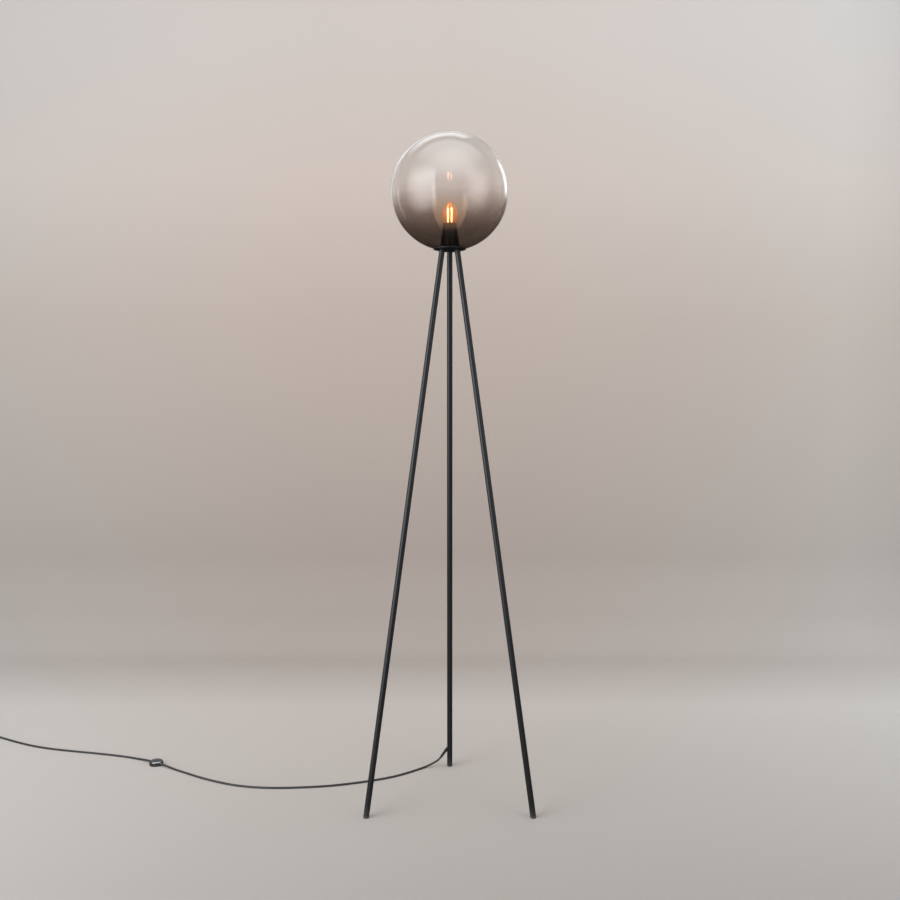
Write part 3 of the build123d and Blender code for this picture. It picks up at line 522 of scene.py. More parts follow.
def lay_cord(name, route, material):
    """A cord as one smooth spline through its route, round in section."""
    data = bpy.data.curves.new(name, "CURVE")
    data.dimensions = "3D"
    data.bevel_depth = cord_diameter / 2
    data.bevel_resolution = 4
    data.use_fill_caps = True
    line = data.splines.new("NURBS")
    line.points.add(len(route) - 1)
    for point, where in zip(line.points, route):
        point.co = (*where, 1.0)
    line.order_u = 3
    line.use_endpoint_u = True
    line.resolution_u = 8
    data.materials.append(material)
    piece = bpy.data.objects.new(name, data)
    bpy.context.scene.collection.objects.link(piece)
    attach(piece, "stand")
    return piece


def new_group(name, takes, makes):
    """A shared effect: a node group of numbers, with its input and output nodes."""
    group = bpy.data.node_groups.new(name, "ShaderNodeTree")
    for sockets, direction in ((takes, "INPUT"), (makes, "OUTPUT")):
        for socket in sockets:
            group.interface.new_socket(socket, in_out=direction, socket_type="NodeSocketFloat")
    return group, add_node(group, "NodeGroupInput"), add_node(group, "NodeGroupOutput")


# Fine unevenness of moulded, extruded and coated skins: a roughness that varies and a height
# for the bump, both on the piece's own coordinates.
patch_scale = 0.06
skin_grain, given, gives = new_group(
    "skin_grain", ("Grain Scale", "Roughness", "Spread"), ("Roughness", "Height", "Patches")
)
place = add_node(skin_grain, "ShaderNodeTexCoord")
fine = noise(skin_grain, Detail=3.0, Roughness=0.6)
broad_scale = calculate(skin_grain, "MULTIPLY", None, patch_scale)
broad = noise(skin_grain, Detail=4.0, Roughness=0.55)
mixed = calculate(skin_grain, "ADD")
centred = calculate(skin_grain, "SUBTRACT", None, 1.0)
spread = calculate(skin_grain, "MULTIPLY_ADD", clamp=True)
join(
    skin_grain,
    (place.outputs["Object"], fine.inputs["Vector"]),
    (place.outputs["Object"], broad.inputs["Vector"]),
    (given.outputs["Grain Scale"], fine.inputs["Scale"]),
    (given.outputs["Grain Scale"], broad_scale.inputs[0]),
    (broad_scale.outputs[0], broad.inputs["Scale"]),
    (fine.outputs["Fac"], mixed.inputs[0]),
    (broad.outputs["Fac"], mixed.inputs[1]),
    (mixed.outputs[0], centred.inputs[0]),
    (centred.outputs[0], spread.inputs[0]),
    (given.outputs["Spread"], spread.inputs[1]),
    (given.outputs["Roughness"], spread.inputs[2]),
    (spread.outputs[0], gives.inputs["Roughness"]),
    (fine.outputs["Fac"], gives.inputs["Height"]),
    (broad.outputs["Fac"], gives.inputs["Patches"]),
)

# Dust that settles near the floor and in patches: a mask from the height over the floor.
floor_dust, given, gives = new_group("floor_dust", ("Reach", "Amount"), ("Dust",))
place = add_node(floor_dust, "ShaderNodeTexCoord")
parts = add_node(floor_dust, "ShaderNodeSeparateXYZ")
fading = ease(floor_dust, 0.0, 1.0, To_Min=1.0, To_Max=0.0)
specks = noise(floor_dust, Scale=900.0, Detail=5.0, Roughness=0.7)
patchy = share_of(floor_dust, 0.42, 0.68)
together = calculate(floor_dust, "MULTIPLY")
scaled = calculate(floor_dust, "MULTIPLY", clamp=True)
join(
    floor_dust,
    (place.outputs["Object"], parts.inputs[0]),
    (place.outputs["Object"], specks.inputs["Vector"]),
    (parts.outputs["Z"], fading.inputs["Value"]),
    (given.outputs["Reach"], fading.inputs["From Max"]),
    (specks.outputs["Fac"], patchy.inputs["Value"]),
    (fading.outputs["Result"], together.inputs[0]),
    (patchy.outputs["Result"], together.inputs[1]),
    (together.outputs[0], scaled.inputs[0]),
    (given.outputs["Amount"], scaled.inputs[1]),
    (scaled.outputs[0], gives.inputs["Dust"]),
)


def place_group(tree, group, **values):
    """An instance of a shared effect in a material, with its own values."""
    node = add_node(tree, "ShaderNodeGroup", node_tree=group)
    return set_inputs(node, **values)


skin_depth = 0.00005
dust_colour = (0.28, 0.26, 0.24)


def skin_material(
    name, colour, paler, roughness, spread, grain, relief_strength, dust_reach=0.0, dust=0.0, coat=0.0
):
    """Coated, moulded or extruded skin: two close tones in patches, grain, and floor dust."""
    material, tree, surface = new_material(name)
    set_inputs(surface, Coat_Weight=coat, Coat_Roughness=0.12)
    skin = place_group(tree, skin_grain, Grain_Scale=grain, Roughness=roughness, Spread=spread)
    tones = mix_colours(tree, colour, paler)
    relief = bump(tree, relief_strength, skin_depth)
    join(
        tree,
        (skin.outputs["Patches"], tones.inputs["Factor"]),
        (skin.outputs["Roughness"], surface.inputs["Roughness"]),
        (skin.outputs["Height"], relief.inputs["Height"]),
        (relief.outputs["Normal"], surface.inputs["Normal"]),
    )
    shown = tones.outputs["Result"]
    if dust:
        mask = place_group(tree, floor_dust, Reach=dust_reach, Amount=dust)
        dusty = mix_colours(tree, second=dust_colour)
        join(tree, (mask.outputs["Dust"], dusty.inputs["Factor"]), (shown, dusty.inputs["A"]))
        shown = dusty.outputs["Result"]
    tree.links.new(shown, surface.inputs["Base Color"])
    return material


cord_sheath = skin_material(
    "cord_sheath", (0.030, 0.031, 0.034), (0.046, 0.047, 0.050), 0.46, 0.16, 2600.0, 0.35,
    dust_reach=0.004, dust=0.5,
)
first_cord = lay_cord("cord_leg_to_switch", lead_route, cord_sheath)
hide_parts("cord_to_switch")
second_cord = lay_cord("cord_switch_to_plug", second_route, cord_sheath)
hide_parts("cord_to_coil", "cord_coil", "cord_tail")

# ------------------------------------------------------------------ legs
# Three slim steel legs, powder coated dark grey. The two front ones are bar, and the rear one is
# tube because the cord runs down in it. Each screws on a stud under the dish, over a thin washer.

def dress(material, *names):
    """Gives CAD nodes a finish in place of the plain packed one."""
    for name in names:
        for material_slot in nodes[name].material_slots:
            material_slot.material = material


leg_coat = skin_material(
    "leg_coat", (0.0070, 0.0095, 0.0130), (0.0105, 0.0140, 0.0185), 0.36, 0.12, 1500.0, 0.30,
    dust_reach=0.03, dust=0.35,
)
dress(leg_coat, "leg_left", "leg_right", "leg_rear")

black_coat = skin_material(
    "black_coat", (0.0060, 0.0060, 0.0065), (0.0095, 0.0095, 0.0105), 0.34, 0.12, 1700.0, 0.30
)
dress(black_coat, "socket_left", "socket_right", "socket_rear", "leg_washers", "dish")

# ------------------------------------------------------------------ foot caps
# A moulded rubber cap closes the foot of each leg. It is as wide as the leg, with a rounded sole
# cut level with the floor, a shadow groove where it meets the steel and a moulding line.

foot_circle = 0.196
leg_circle = 0.019
leg_datum = 1.163
leg_slope = (foot_circle - leg_circle) / leg_datum
leg_radius = 0.006
cap_height = 0.008
groove_depth = 0.0005
moulding_step = 0.0001
leg_angles = {"left": 210.0, "right": 330.0, "rear": 90.0}


def pick(piece):
    """Makes a piece the only selected one, and the active one."""
    deselect_all()
    piece.select_set(True)
    bpy.context.view_layer.objects.active = piece


def stand_on_leg(piece, angle):
    """Turns an upright piece onto a leg's axis, with its origin where the axis meets the floor."""
    outward = Vector((math.cos(math.radians(angle)), math.sin(math.radians(angle)), 0))
    up_the_leg = (Vector((0, 0, 1)) - outward * leg_slope).normalized()
    sideways = Vector((-outward.y, outward.x, 0))
    turned = Matrix((sideways, up_the_leg.cross(sideways), up_the_leg)).transposed().to_4x4()
    piece.matrix_world = Matrix.Translation(outward * foot_circle) @ turned
    pick(piece)
    bpy.ops.object.transform_apply(location=True, rotation=True, scale=True)


def draw_rings(levels, sides, centre=(0.0, 0.0)):
    """In edit mode, draws a round shape up from a circle. levels are (height, radius)."""
    deselect_all()
    height, radius = levels[0]
    bpy.ops.mesh.primitive_circle_add(vertices=sides, radius=radius, location=(*centre, height))
    bpy.ops.object.transform_apply(location=True, rotation=True, scale=True)
    bpy.ops.object.mode_set(mode="EDIT")
    bpy.ops.mesh.select_all(action="SELECT")
    for next_height, next_radius in levels[1:]:
        bpy.ops.mesh.extrude_edges_move(TRANSFORM_OT_translate={"value": (0, 0, next_height - height)})
        share = next_radius / radius
        bpy.ops.transform.resize(value=(share, share, 1), center_override=(*centre, next_height))
        height, radius = next_height, next_radius


def select_open_edges():
    """In edit mode, selects the edges where a mesh is open."""
    bpy.ops.mesh.select_all(action="DESELECT")
    bpy.ops.mesh.select_mode(type="EDGE")
    bpy.ops.mesh.select_non_manifold(extend=False)


def close_rings(name, material, cap_ends=True, body="stand", smooth_angle=35.0):
    """Ends a ring drawing: fills or merges its ends, turns the faces outwards and smooths."""
    if cap_ends:
        select_open_edges()
        bpy.ops.mesh.fill_holes(sides=0)
    bpy.ops.mesh.select_all(action="SELECT")
    bpy.ops.mesh.remove_doubles(threshold=1e-6)
    bpy.ops.mesh.normals_make_consistent(inside=False)
    bpy.ops.object.mode_set(mode="OBJECT")
    piece = bring_up(name, material)
    bpy.ops.object.shade_smooth_by_angle(angle=math.radians(smooth_angle))
    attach(piece, body)
    return piece


def add_modifier(piece, kind, **settings):
    """A modifier with its settings, applied at once."""
    pick(piece)
    modifier = piece.modifiers.new(kind.lower(), kind)
    for name, value in settings.items():
        setattr(modifier, name, value)
    bpy.ops.object.modifier_apply(modifier=modifier.name)


foot_rubber = skin_material(
    "foot_rubber", (0.013, 0.013, 0.014), (0.024, 0.024, 0.025), 0.62, 0.16, 2200.0, 0.5,
    dust_reach=0.007, dust=1.0,
)
sole_round = 0.0013
moulded_radius = leg_radius - moulding_step
cap_levels = [
    (-leg_radius, moulded_radius),
    (0.0030, moulded_radius),
    (0.0031, leg_radius),
    (0.0034, leg_radius),
    (0.0035, moulded_radius),
    (cap_height - 0.0009, moulded_radius),
    (cap_height - 0.0005, leg_radius - 0.0003),
    (cap_height - 0.0004, leg_radius - groove_depth),
    (cap_height, leg_radius - groove_depth),
]
for side, angle in leg_angles.items():
    draw_rings(cap_levels, 64)
    foot = close_rings(f"foot_cap_rubber_{side}", foot_rubber)
    stand_on_leg(foot, angle)
    bpy.ops.object.mode_set(mode="EDIT")
    bpy.ops.mesh.select_all(action="SELECT")
    bpy.ops.mesh.bisect(
        plane_co=(0, 0, 0), plane_no=(0, 0, 1), use_fill=True, clear_inner=True, threshold=1e-7
    )
    bpy.ops.mesh.select_mode(type="FACE")
    select_where("faces", lambda face: face.calc_center_median().z < 1e-6)
    bpy.ops.mesh.region_to_loop()
    bpy.ops.mesh.bevel(offset=sole_round, segments=5, profile=0.5, affect="EDGES")
    bpy.ops.object.mode_set(mode="OBJECT")
    bpy.ops.object.shade_smooth_by_angle(angle=math.radians(35))
    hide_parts(f"foot_cap_{side}")

bush_rubber = skin_material(
    "bush_rubber", (0.011, 0.011, 0.012), (0.019, 0.019, 0.020), 0.55, 0.15, 2400.0, 0.4
)
dress(bush_rubber, "cord_bush", "switch_sleeves")

# ------------------------------------------------------------------ dish, seat and plate
# A shallow spun steel cup, powder coated black, holds the globe on a ring of black felt. A turned
# and black plated plate in the cup takes the studs of the legs and the post of the lampholder.

# Tool marks that run round a turned piece, and spots of tarnish.
scratches, given, gives = new_group(
    "tool_scratches", ("Scale", "Roughness", "Spread"), ("Roughness", "Height", "Tarnish")
)
place = add_node(scratches, "ShaderNodeTexCoord")
stretch = set_inputs(add_node(scratches, "ShaderNodeMapping"), Scale=(1.0, 1.0, 14.0))
lines = noise(scratches, Detail=6.0, Roughness=0.7)
stains = noise(scratches, Scale=180.0, Detail=5.0, Roughness=0.6)
centred = calculate(scratches, "SUBTRACT", None, 0.5)
spread = calculate(scratches, "MULTIPLY_ADD", clamp=True)
spotted = share_of(scratches, 0.45, 0.75)
join(
    scratches,
    (place.outputs["Object"], stretch.inputs["Vector"]),
    (stretch.outputs["Vector"], lines.inputs["Vector"]),
    (given.outputs["Scale"], lines.inputs["Scale"]),
    (place.outputs["Object"], stains.inputs["Vector"]),
    (lines.outputs["Fac"], centred.inputs[0]),
    (centred.outputs[0], spread.inputs[0]),
    (given.outputs["Spread"], spread.inputs[1]),
    (given.outputs["Roughness"], spread.inputs[2]),
    (spread.outputs[0], gives.inputs["Roughness"]),
    (lines.outputs["Fac"], gives.inputs["Height"]),
    (stains.outputs["Fac"], spotted.inputs["Value"]),
    (spotted.outputs["Result"], gives.inputs["Tarnish"]),
)


def bare_metal(name, colour, tarnish, roughness, spread=0.3, scale=700.0):
    """Bare or plated metal: tool marks in its roughness and relief, and a darker tarnish."""
    material, tree, surface = new_material(name)
    set_inputs(surface, Metallic=1.0)
    marks = place_group(tree, scratches, Scale=scale, Roughness=roughness, Spread=spread)
    tones = mix_colours(tree, colour, tarnish)
    relief = bump(tree, 0.25, 0.00002)
    join(
        tree,
        (marks.outputs["Tarnish"], tones.inputs["Factor"]),
        (tones.outputs["Result"], surface.inputs["Base Color"]),
        (marks.outputs["Roughness"], surface.inputs["Roughness"]),
        (marks.outputs["Height"], relief.inputs["Height"]),
        (relief.outputs["Normal"], surface.inputs["Normal"]),
    )
    return material


zinc = bare_metal("zinc_plate", (0.60, 0.60, 0.58), (0.40, 0.41, 0.42), 0.38)
nickel = bare_metal("nickel_plate", (0.72, 0.69, 0.64), (0.55, 0.51, 0.46), 0.22)
brass = bare_metal("brass_sheet", (0.72, 0.50, 0.22), (0.45, 0.29, 0.12), 0.33)
steel_wire = bare_metal("spring_wire", (0.50, 0.50, 0.50), (0.30, 0.30, 0.31), 0.30)
dress(zinc, "leg_studs", "cord_nipple", "terminal_screws", "post_washer")
dress(zinc, "post_nut", "holder_post", "switch_screws")
dress(nickel, "bulb_contact", "bulb_wires", "plug_pins")
dress(brass, "holder_shell", "holder_terminals", "centre_contact", "side_contact")
dress(brass, "switch_bridge", "switch_terminals")

plate_black = skin_material(
    "plate_black", (0.012, 0.012, 0.012), (0.020, 0.020, 0.020), 0.42, 0.14, 1500.0, 0.3
)
dress(plate_black, "mounting_plate")
felt = skin_material("seat_felt", (0.012, 0.012, 0.012), (0.040, 0.040, 0.040), 0.95, 0.08, 5200.0, 1.0)
dress(felt, "seat_ring")

# ------------------------------------------------------------------ lampholder and its cone
# The moulded plastic lampholder stands on a threaded post. A matt black spun cone drops over it,
# and a knurled ring screws down on the cone's inner flange to hold it.

cone_base_radius = 0.0216
cone_top_radius = 0.0145
cone_wall = 0.0010
cone_chamfer = 0.0003
cone_gap = 0.0003
plate_top = 1.1705
cone_top = 1.2234
cone_flange = 1.2077
holder_radius = 0.0124
cone_taper = (cone_base_radius - cone_top_radius) / (cone_top - plate_top)
flange_top = cone_flange + cone_wall


def cone_radius(height):
    """Outer radius of the cone at a height."""
    return cone_base_radius - cone_taper * (height - plate_top)


lip = cone_wall * 0.5
lip_steps = 6
cone_levels = [
    (plate_top, cone_base_radius - cone_chamfer),
    (plate_top + cone_chamfer, cone_base_radius),
]
cone_levels += [(height, cone_radius(height)) for height in (plate_top + 0.0150, plate_top + 0.0330)]
for step in range(lip_steps + 1):
    turned = math.pi * step / lip_steps
    cone_levels.append(
        (cone_top - lip + lip * math.sin(turned), cone_radius(cone_top) - lip + lip * math.cos(turned))
    )
cone_levels += [
    (flange_top, cone_radius(flange_top) - cone_wall),
    (flange_top, holder_radius + cone_gap),
    (cone_flange, holder_radius + cone_gap),
    (cone_flange, cone_radius(cone_flange) - cone_wall),
    (plate_top, cone_base_radius - cone_wall),
]
cone_coat = skin_material(
    "cone_coat", (0.030, 0.024, 0.022), (0.042, 0.034, 0.031), 0.55, 0.12, 1800.0, 0.35
)
draw_rings(cone_levels, 96)
select_open_edges()
bpy.ops.mesh.bridge_edge_loops()
cone = close_rings("holder_cone_spun", cone_coat, cap_ends=False)
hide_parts("holder_cone")

holder_plastic = skin_material(
    "holder_plastic", (0.014, 0.012, 0.011), (0.026, 0.023, 0.021), 0.5, 0.15, 1400.0, 0.3
)
dress(holder_plastic, "holder_body", "holder_ring")

# ------------------------------------------------------------------ bulb
# A small screw-cap candle bulb: blown amber glass, pinched to a soft point, over a clear stem
# that carries four yellow filaments on fine wires.

bulb_radius = 0.0175
bulb_widest = 1.2410
bulb_tip = 1.2710
cap_top = 1.2142
bulb_neck = 0.0063
bulb_wall = 0.0006
glass_sides = 96
profile_steps = 16
lower_curve = [
    (bulb_neck, cap_top), (bulb_neck + 0.0030, cap_top + 0.0065),
    (bulb_radius, bulb_widest - 0.0130), (bulb_radius, bulb_widest),
]
upper_curve = [
    (bulb_radius, bulb_widest), (bulb_radius, bulb_widest + 0.0135),
    (0.0062, bulb_tip - 0.0002), (0.0008, bulb_tip),
]
bulb_levels = [(cap_top - 0.0060, bulb_neck)]
for knot, handle, next_handle, next_knot in (lower_curve, upper_curve):
    for share in range(profile_steps + 1):
        t = share / profile_steps
        weights = ((1 - t) ** 3, 3 * t * (1 - t) ** 2, 3 * t * t * (1 - t), t**3)
        points = (knot, handle, next_handle, next_knot)
        radius, height = (sum(w * point[k] for w, point in zip(weights, points)) for k in (0, 1))
        if height > bulb_levels[-1][0] + 1e-6:
            bulb_levels.append((height, radius))

amber_glass, tree, surface = new_material("amber_glass")
set_inputs(surface, Transmission_Weight=1.0, IOR=1.46, Roughness=0.16, Emission_Strength=1.0)
set_inputs(surface, Coat_Weight=1.0, Coat_Roughness=0.03)
place = add_node(tree, "ShaderNodeTexCoord")
parts = add_node(tree, "ShaderNodeSeparateXYZ")
rising = share_of(tree, cap_top, bulb_tip)
stain = colour_ramp(tree, (0.0, (0.92, 0.58, 0.34)), (1.0, (0.97, 0.72, 0.50)))
glow = colour_ramp(
    tree, (0.0, (0.13, 0.035, 0.010)), (0.45, (0.24, 0.065, 0.016)), (1.0, (0.20, 0.08, 0.03))
)
ripple = noise(tree, Scale=60.0, Detail=1.0)
relief = bump(tree, 0.12, 0.0006)
edge_on = set_inputs(add_node(tree, "ShaderNodeLayerWeight"), Blend=0.5)
to_edge = share_of(tree, 0.1, 0.75)
dimmer = mix_colours(tree, second=(0.35, 0.25, 0.25), blend="MULTIPLY")
join(
    tree,
    (place.outputs["Object"], parts.inputs[0]),
    (parts.outputs["Z"], rising.inputs["Value"]),
    (rising.outputs["Result"], stain.inputs["Fac"]),
    (rising.outputs["Result"], glow.inputs["Fac"]),
    (stain.outputs["Color"], surface.inputs["Base Color"]),
    (edge_on.outputs["Facing"], to_edge.inputs["Value"]),
    (to_edge.outputs["Result"], dimmer.inputs["Factor"]),
    (glow.outputs["Color"], dimmer.inputs["A"]),
    (dimmer.outputs["Result"], surface.inputs["Emission Color"]),
    (place.outputs["Object"], ripple.inputs["Vector"]),
    (ripple.outputs["Fac"], relief.inputs["Height"]),
    (relief.outputs["Normal"], surface.inputs["Normal"]),
)

draw_rings(bulb_levels, glass_sides)
select_where("verts", lambda vertex: vertex.co.z > bulb_tip - 1e-6)
bpy.ops.mesh.merge(type="CENTER")
bulb_skin = close_rings("bulb_blown_glass", amber_glass, cap_ends=False, body="bulb", smooth_angle=60)
add_modifier(bulb_skin, "SOLIDIFY", thickness=bulb_wall, offset=-1.0, use_even_offset=True)
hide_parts("bulb_glass")

# The cap is thin sheet with a rolled thread and a turned-out lip under the glass.
cap_low, cap_high = (corner[2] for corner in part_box("bulb_cap"))
cap_radius = 0.00695
cap_bore = 0.00645
lip_radius = 0.00755
cap_mouth = 0.00575
lip_foot = cap_high - 0.0008
floor_top = cap_low + 0.0005
thread_foot = cap_low + 0.0012
thread_pitch = 0.00282
thread_depth = 0.00038
thread_turns = 6
steps_per_turn = 10
screw_levels = [
    (cap_low, cap_mouth), (cap_low, cap_radius - 0.0004), (cap_low + 0.0003, cap_radius - 0.0001),
]
for step in range(thread_turns * steps_per_turn + 1):
    groove = (1 - math.cos(2 * math.pi * step / steps_per_turn)) / 2
    height = thread_foot + step * thread_pitch / steps_per_turn
    screw_levels.append((height, cap_radius - thread_depth * groove))
screw_levels += [
    (lip_foot, cap_radius), (lip_foot, lip_radius), (cap_high, lip_radius), (cap_high, cap_bore),
    (floor_top, cap_bore), (floor_top, cap_mouth), (cap_low, cap_mouth),
]
draw_rings(screw_levels, 64)
bpy.ops.mesh.select_all(action="SELECT")
bpy.ops.mesh.remove_doubles(threshold=2e-5)
screw_cap = close_rings("bulb_screw_cap", nickel, cap_ends=False, body="bulb")
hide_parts("bulb_cap")

stem_glass, tree, surface = new_material("stem_glass")
set_inputs(surface, Transmission_Weight=1.0, IOR=1.5, Roughness=0.03)
place = add_node(tree, "ShaderNodeTexCoord")
seeds = noise(tree, Scale=300.0, Detail=2.0)
haze = colour_ramp(tree, (0.0, (0.93, 0.94, 0.93)), (1.0, (0.99, 0.98, 0.96)))
join(
    tree,
    (place.outputs["Object"], seeds.inputs["Vector"]),
    (seeds.outputs["Fac"], haze.inputs["Fac"]),
    (haze.outputs["Color"], surface.inputs["Base Color"]),
)
dress(stem_glass, "bulb_stem")

filament_length = 0.030
filament_bottom = 1.2260
filament_circle = 0.0056
filament_radius = 0.0010
filament_end = 0.0004
filament_tip_radius = filament_radius * 0.55
filament_top = filament_bottom + filament_length
first_angle = math.radians(40)
filament_place = (filament_circle * math.cos(first_angle), filament_circle * math.sin(first_angle))
filament_glow, tree, surface = new_material("filament_glow")
set_inputs(surface, Base_Color=(0.9, 0.6, 0.2, 1), Roughness=0.5, Emission_Strength=15.0)
place = add_node(tree, "ShaderNodeTexCoord")
beads = add_node(tree, "ShaderNodeTexWave", bands_direction="Z")
set_inputs(beads, Scale=160.0, Distortion=0.4, Detail=1.0)
heat = colour_ramp(tree, (0.0, (1.0, 0.72, 0.40)), (1.0, (1.0, 0.84, 0.58)))
join(
    tree,
    (place.outputs["Object"], beads.inputs["Vector"]),
    (beads.outputs["Fac"], heat.inputs["Fac"]),
    (heat.outputs["Color"], surface.inputs["Emission Color"]),
)
filament_levels = (
    (filament_bottom, filament_tip_radius),
    (filament_bottom + filament_end, filament_radius),
    (filament_top - filament_end, filament_radius),
    (filament_top, filament_tip_radius),
)
draw_rings(filament_levels, 20, filament_place)
filament = close_rings("bulb_filament_1", filament_glow, body="bulb", smooth_angle=50)
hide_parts("bulb_filaments")
filament.visible_diffuse = False
for number in (2, 3, 4):
    copy = filament.copy()
    copy.data = filament.data.copy()
    copy.name = copy.data.name = f"bulb_filament_{number}"
    copy.data.transform(Matrix.Rotation(math.radians(90 * (number - 1)), 4, "Z"))
    bpy.context.scene.collection.objects.link(copy)

base_glaze = skin_material(
    "bulb_base_glaze", (0.03, 0.02, 0.026), (0.05, 0.035, 0.045), 0.2, 0.1, 900.0, 0.2, coat=0.6
)
dress(base_glaze, "bulb_insulator")
driver_board = skin_material(
    "driver_board", (0.16, 0.20, 0.10), (0.30, 0.30, 0.18), 0.55, 0.2, 1200.0, 0.4
)
dress(driver_board, "bulb_driver")

# ------------------------------------------------------------------ globe
# A mouth-blown glass globe, clear at the top and smoked from its middle down to nearly black
# brown. Its mouth is cut and ground round, and it rests loose in the dish over the bulb.

globe_radius = 0.12496
globe_centre = 1.291
glass_wall = 0.003
ground_edge = 0.0011
smoke_drift = 0.006
mouth_radius = 0.029
mouth_height = globe_centre - math.sqrt(globe_radius**2 - mouth_radius**2)

smoked_glass, tree, surface = new_material("smoked_glass")
set_inputs(surface, Transmission_Weight=1.0, IOR=1.46, Roughness=0.0)
place = add_node(tree, "ShaderNodeTexCoord")
parts = add_node(tree, "ShaderNodeSeparateXYZ")
drift = noise(tree, Scale=9.0, Detail=2.0)
drift_centred = calculate(tree, "SUBTRACT", None, 0.5)
uneven = calculate(tree, "MULTIPLY_ADD", None, smoke_drift)
rising = share_of(tree, globe_centre - globe_radius, globe_centre + globe_radius)
smoke = colour_ramp(
    tree,
    (0.00, (0.195, 0.160, 0.139)),
    (0.08, (0.240, 0.198, 0.173)),
    (0.16, (0.300, 0.252, 0.225)),
    (0.25, (0.420, 0.364, 0.330)),
    (0.34, (0.560, 0.501, 0.464)),
    (0.40, (0.700, 0.648, 0.612)),
    (0.45, (0.850, 0.816, 0.792)),
    (0.53, (0.975, 0.962, 0.952)),
    (1.00, (0.990, 0.988, 0.985)),
    interpolation="B_SPLINE",
)
ripple = noise(tree, Scale=7.0, Detail=1.0)
relief = bump(tree, 0.05, 0.004)
edge_on = set_inputs(add_node(tree, "ShaderNodeLayerWeight"), Blend=0.5)
long_way = ease(tree, 0.6, 0.95)
deeper = mix_colours(tree, blend="MULTIPLY")
join(
    tree,
    (place.outputs["Object"], parts.inputs[0]),
    (place.outputs["Object"], drift.inputs["Vector"]),
    (drift.outputs["Fac"], drift_centred.inputs[0]),
    (drift_centred.outputs[0], uneven.inputs[0]),
    (parts.outputs["Z"], uneven.inputs[2]),
    (uneven.outputs[0], rising.inputs["Value"]),
    (rising.outputs["Result"], smoke.inputs["Fac"]),
    (edge_on.outputs["Facing"], long_way.inputs["Value"]),
    (long_way.outputs["Result"], deeper.inputs["Factor"]),
    (smoke.outputs["Color"], deeper.inputs["A"]),
    (smoke.outputs["Color"], deeper.inputs["B"]),
    (deeper.outputs["Result"], surface.inputs["Base Color"]),
    (place.outputs["Object"], ripple.inputs["Vector"]),
    (ripple.outputs["Fac"], relief.inputs["Height"]),
    (relief.outputs["Normal"], surface.inputs["Normal"]),
)

deselect_all()
bpy.ops.mesh.primitive_uv_sphere_add(
    segments=160, ring_count=100, radius=globe_radius, location=(0, 0, globe_centre)
)
bpy.ops.object.mode_set(mode="EDIT")
bpy.ops.mesh.select_all(action="SELECT")
bpy.ops.mesh.bisect(plane_co=(0, 0, mouth_height), plane_no=(0, 0, 1), clear_inner=True, threshold=1e-7)
bpy.ops.object.mode_set(mode="OBJECT")
globe = bring_up("smoked_globe", smoked_glass)
add_modifier(globe, "SOLIDIFY", thickness=glass_wall, offset=-1.0, use_even_offset=True)
add_modifier(
    globe, "BEVEL", width=ground_edge, segments=4, limit_method="ANGLE", angle_limit=math.radians(50)
)
bpy.ops.object.shade_smooth_by_angle(angle=math.radians(60))
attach(globe, "globe")
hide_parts("globe_glass")
globe_only = bpy.data.collections.new("lit_by_globe_lights")
globe_only.objects.link(globe)
for lamp in globe_lights:
    lamp.light_linking.receiver_collection = globe_only

# ------------------------------------------------------------------ leads in the lamp
# Above the dish the cord's sheath ends in a nylon anchor, and a brown and a blue core go up to
# the terminals of the lampholder.

nylon = skin_material("anchor_nylon", (0.55, 0.53, 0.47), (0.66, 0.64, 0.58), 0.45, 0.15, 1300.0, 0.3)
live_core = skin_material("live_core", (0.13, 0.05, 0.02), (0.18, 0.07, 0.03), 0.4, 0.1, 1800.0, 0.2)
neutral_core = skin_material(
    "neutral_core", (0.02, 0.09, 0.32), (0.03, 0.13, 0.40), 0.4, 0.1, 1800.0, 0.2
)
dress(nylon, "cord_anchor")
dress(live_core, "lead_live", "switch_cores")
dress(neutral_core, "lead_neutral")
dress(cord_sheath, "cord_in_lamp", "switch_cord_ends")

# ------------------------------------------------------------------ foot switch
# A round in-line foot switch in glossy black plastic: a flat base, a shouldered cover snapped
# and screwed onto it, and a domed button that is pushed with the foot and springs back.

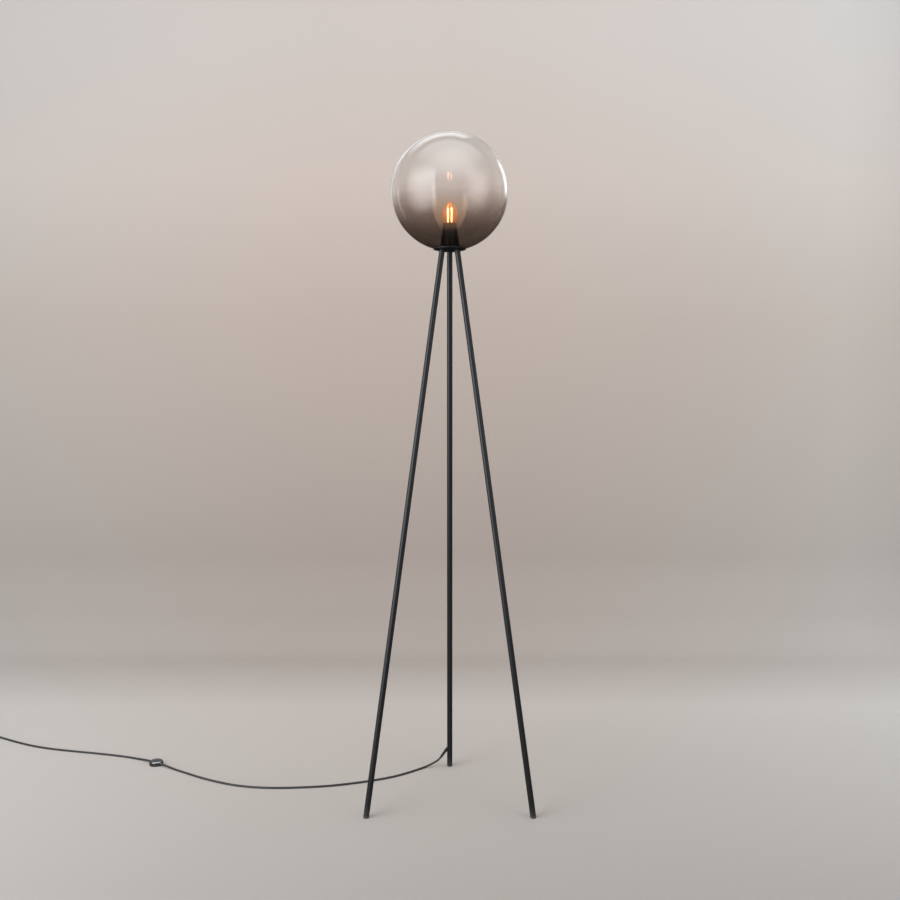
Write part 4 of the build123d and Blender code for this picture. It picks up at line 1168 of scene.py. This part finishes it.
switch_gloss = skin_material(
    "switch_gloss", (0.010, 0.011, 0.013), (0.016, 0.017, 0.020), 0.17, 0.12, 1100.0, 0.15,
    dust_reach=0.004, dust=0.35, coat=0.8,
)
button_gloss = skin_material(
    "button_gloss", (0.012, 0.013, 0.015), (0.022, 0.023, 0.026), 0.24, 0.16, 1300.0, 0.2, coat=0.5
)
dress(switch_gloss, "switch_base", "switch_cover", "plug_sleeves")
dress(button_gloss, "switch_button")

# The return spring is drawn again as a wound wire, with a mesh of its own.
spring_low, spring_high = (Vector(corner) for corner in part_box("switch_spring"))
spring_wire = 0.00035
spring_turns = 4
steps_round_wire = 14
steps_per_coil = 48
spring_radius = (spring_high.x - spring_low.x) / 2 - spring_wire
spring_height = spring_high.z - spring_low.z
spring_middle = (spring_low + spring_high) / 2
deselect_all()
bpy.ops.mesh.primitive_circle_add(
    vertices=steps_round_wire, radius=spring_wire, location=(spring_radius, 0, 0),
    rotation=(math.pi / 2, 0, 0),
)
bpy.ops.object.transform_apply(location=True, rotation=True, scale=True)
winding = bpy.context.active_object
add_modifier(
    winding, "SCREW", angle=2 * math.pi, steps=steps_per_coil, render_steps=steps_per_coil,
    iterations=spring_turns, screw_offset=(spring_height - 2 * spring_wire) / spring_turns,
)
winding.location = (spring_middle.x, spring_middle.y, spring_low.z + spring_wire)
bpy.ops.object.mode_set(mode="EDIT")
spring = close_rings("return_spring", steel_wire)
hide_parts("switch_spring")
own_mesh(spring)

# A soft box over the switch draws the pale crescent on its shoulder.
box_forward, box_height = 0.20, 0.7
towards_camera = (camera.location - switch_centre) * Vector((1, 1, 0))
over_switch = switch_centre + towards_camera.normalized() * box_forward + Vector((0, 0, box_height))
switch_box = soft_box("switch_box", over_switch, (1.8, 0.7), 8.0, left_colour, aim=switch_centre)
switch_only = bpy.data.collections.new("lit_by_switch_box")
for name in ("switch_base", "switch_cover", "switch_button", "switch_sleeves"):
    switch_only.objects.link(nodes[name])
switch_box.light_linking.receiver_collection = switch_only

# ------------------------------------------------------------------ plug
# A flat two-pin mains plug, moulded in one with its ribbed strain relief onto the end of the
# cord. Its nickel plated pins have plastic sleeves at their roots.

plug_plastic = skin_material(
    "plug_plastic", (0.013, 0.013, 0.014), (0.022, 0.022, 0.024), 0.42, 0.14, 1500.0, 0.35,
    dust_reach=0.005, dust=0.4,
)
dress(plug_plastic, "plug_body", "plug_relief")
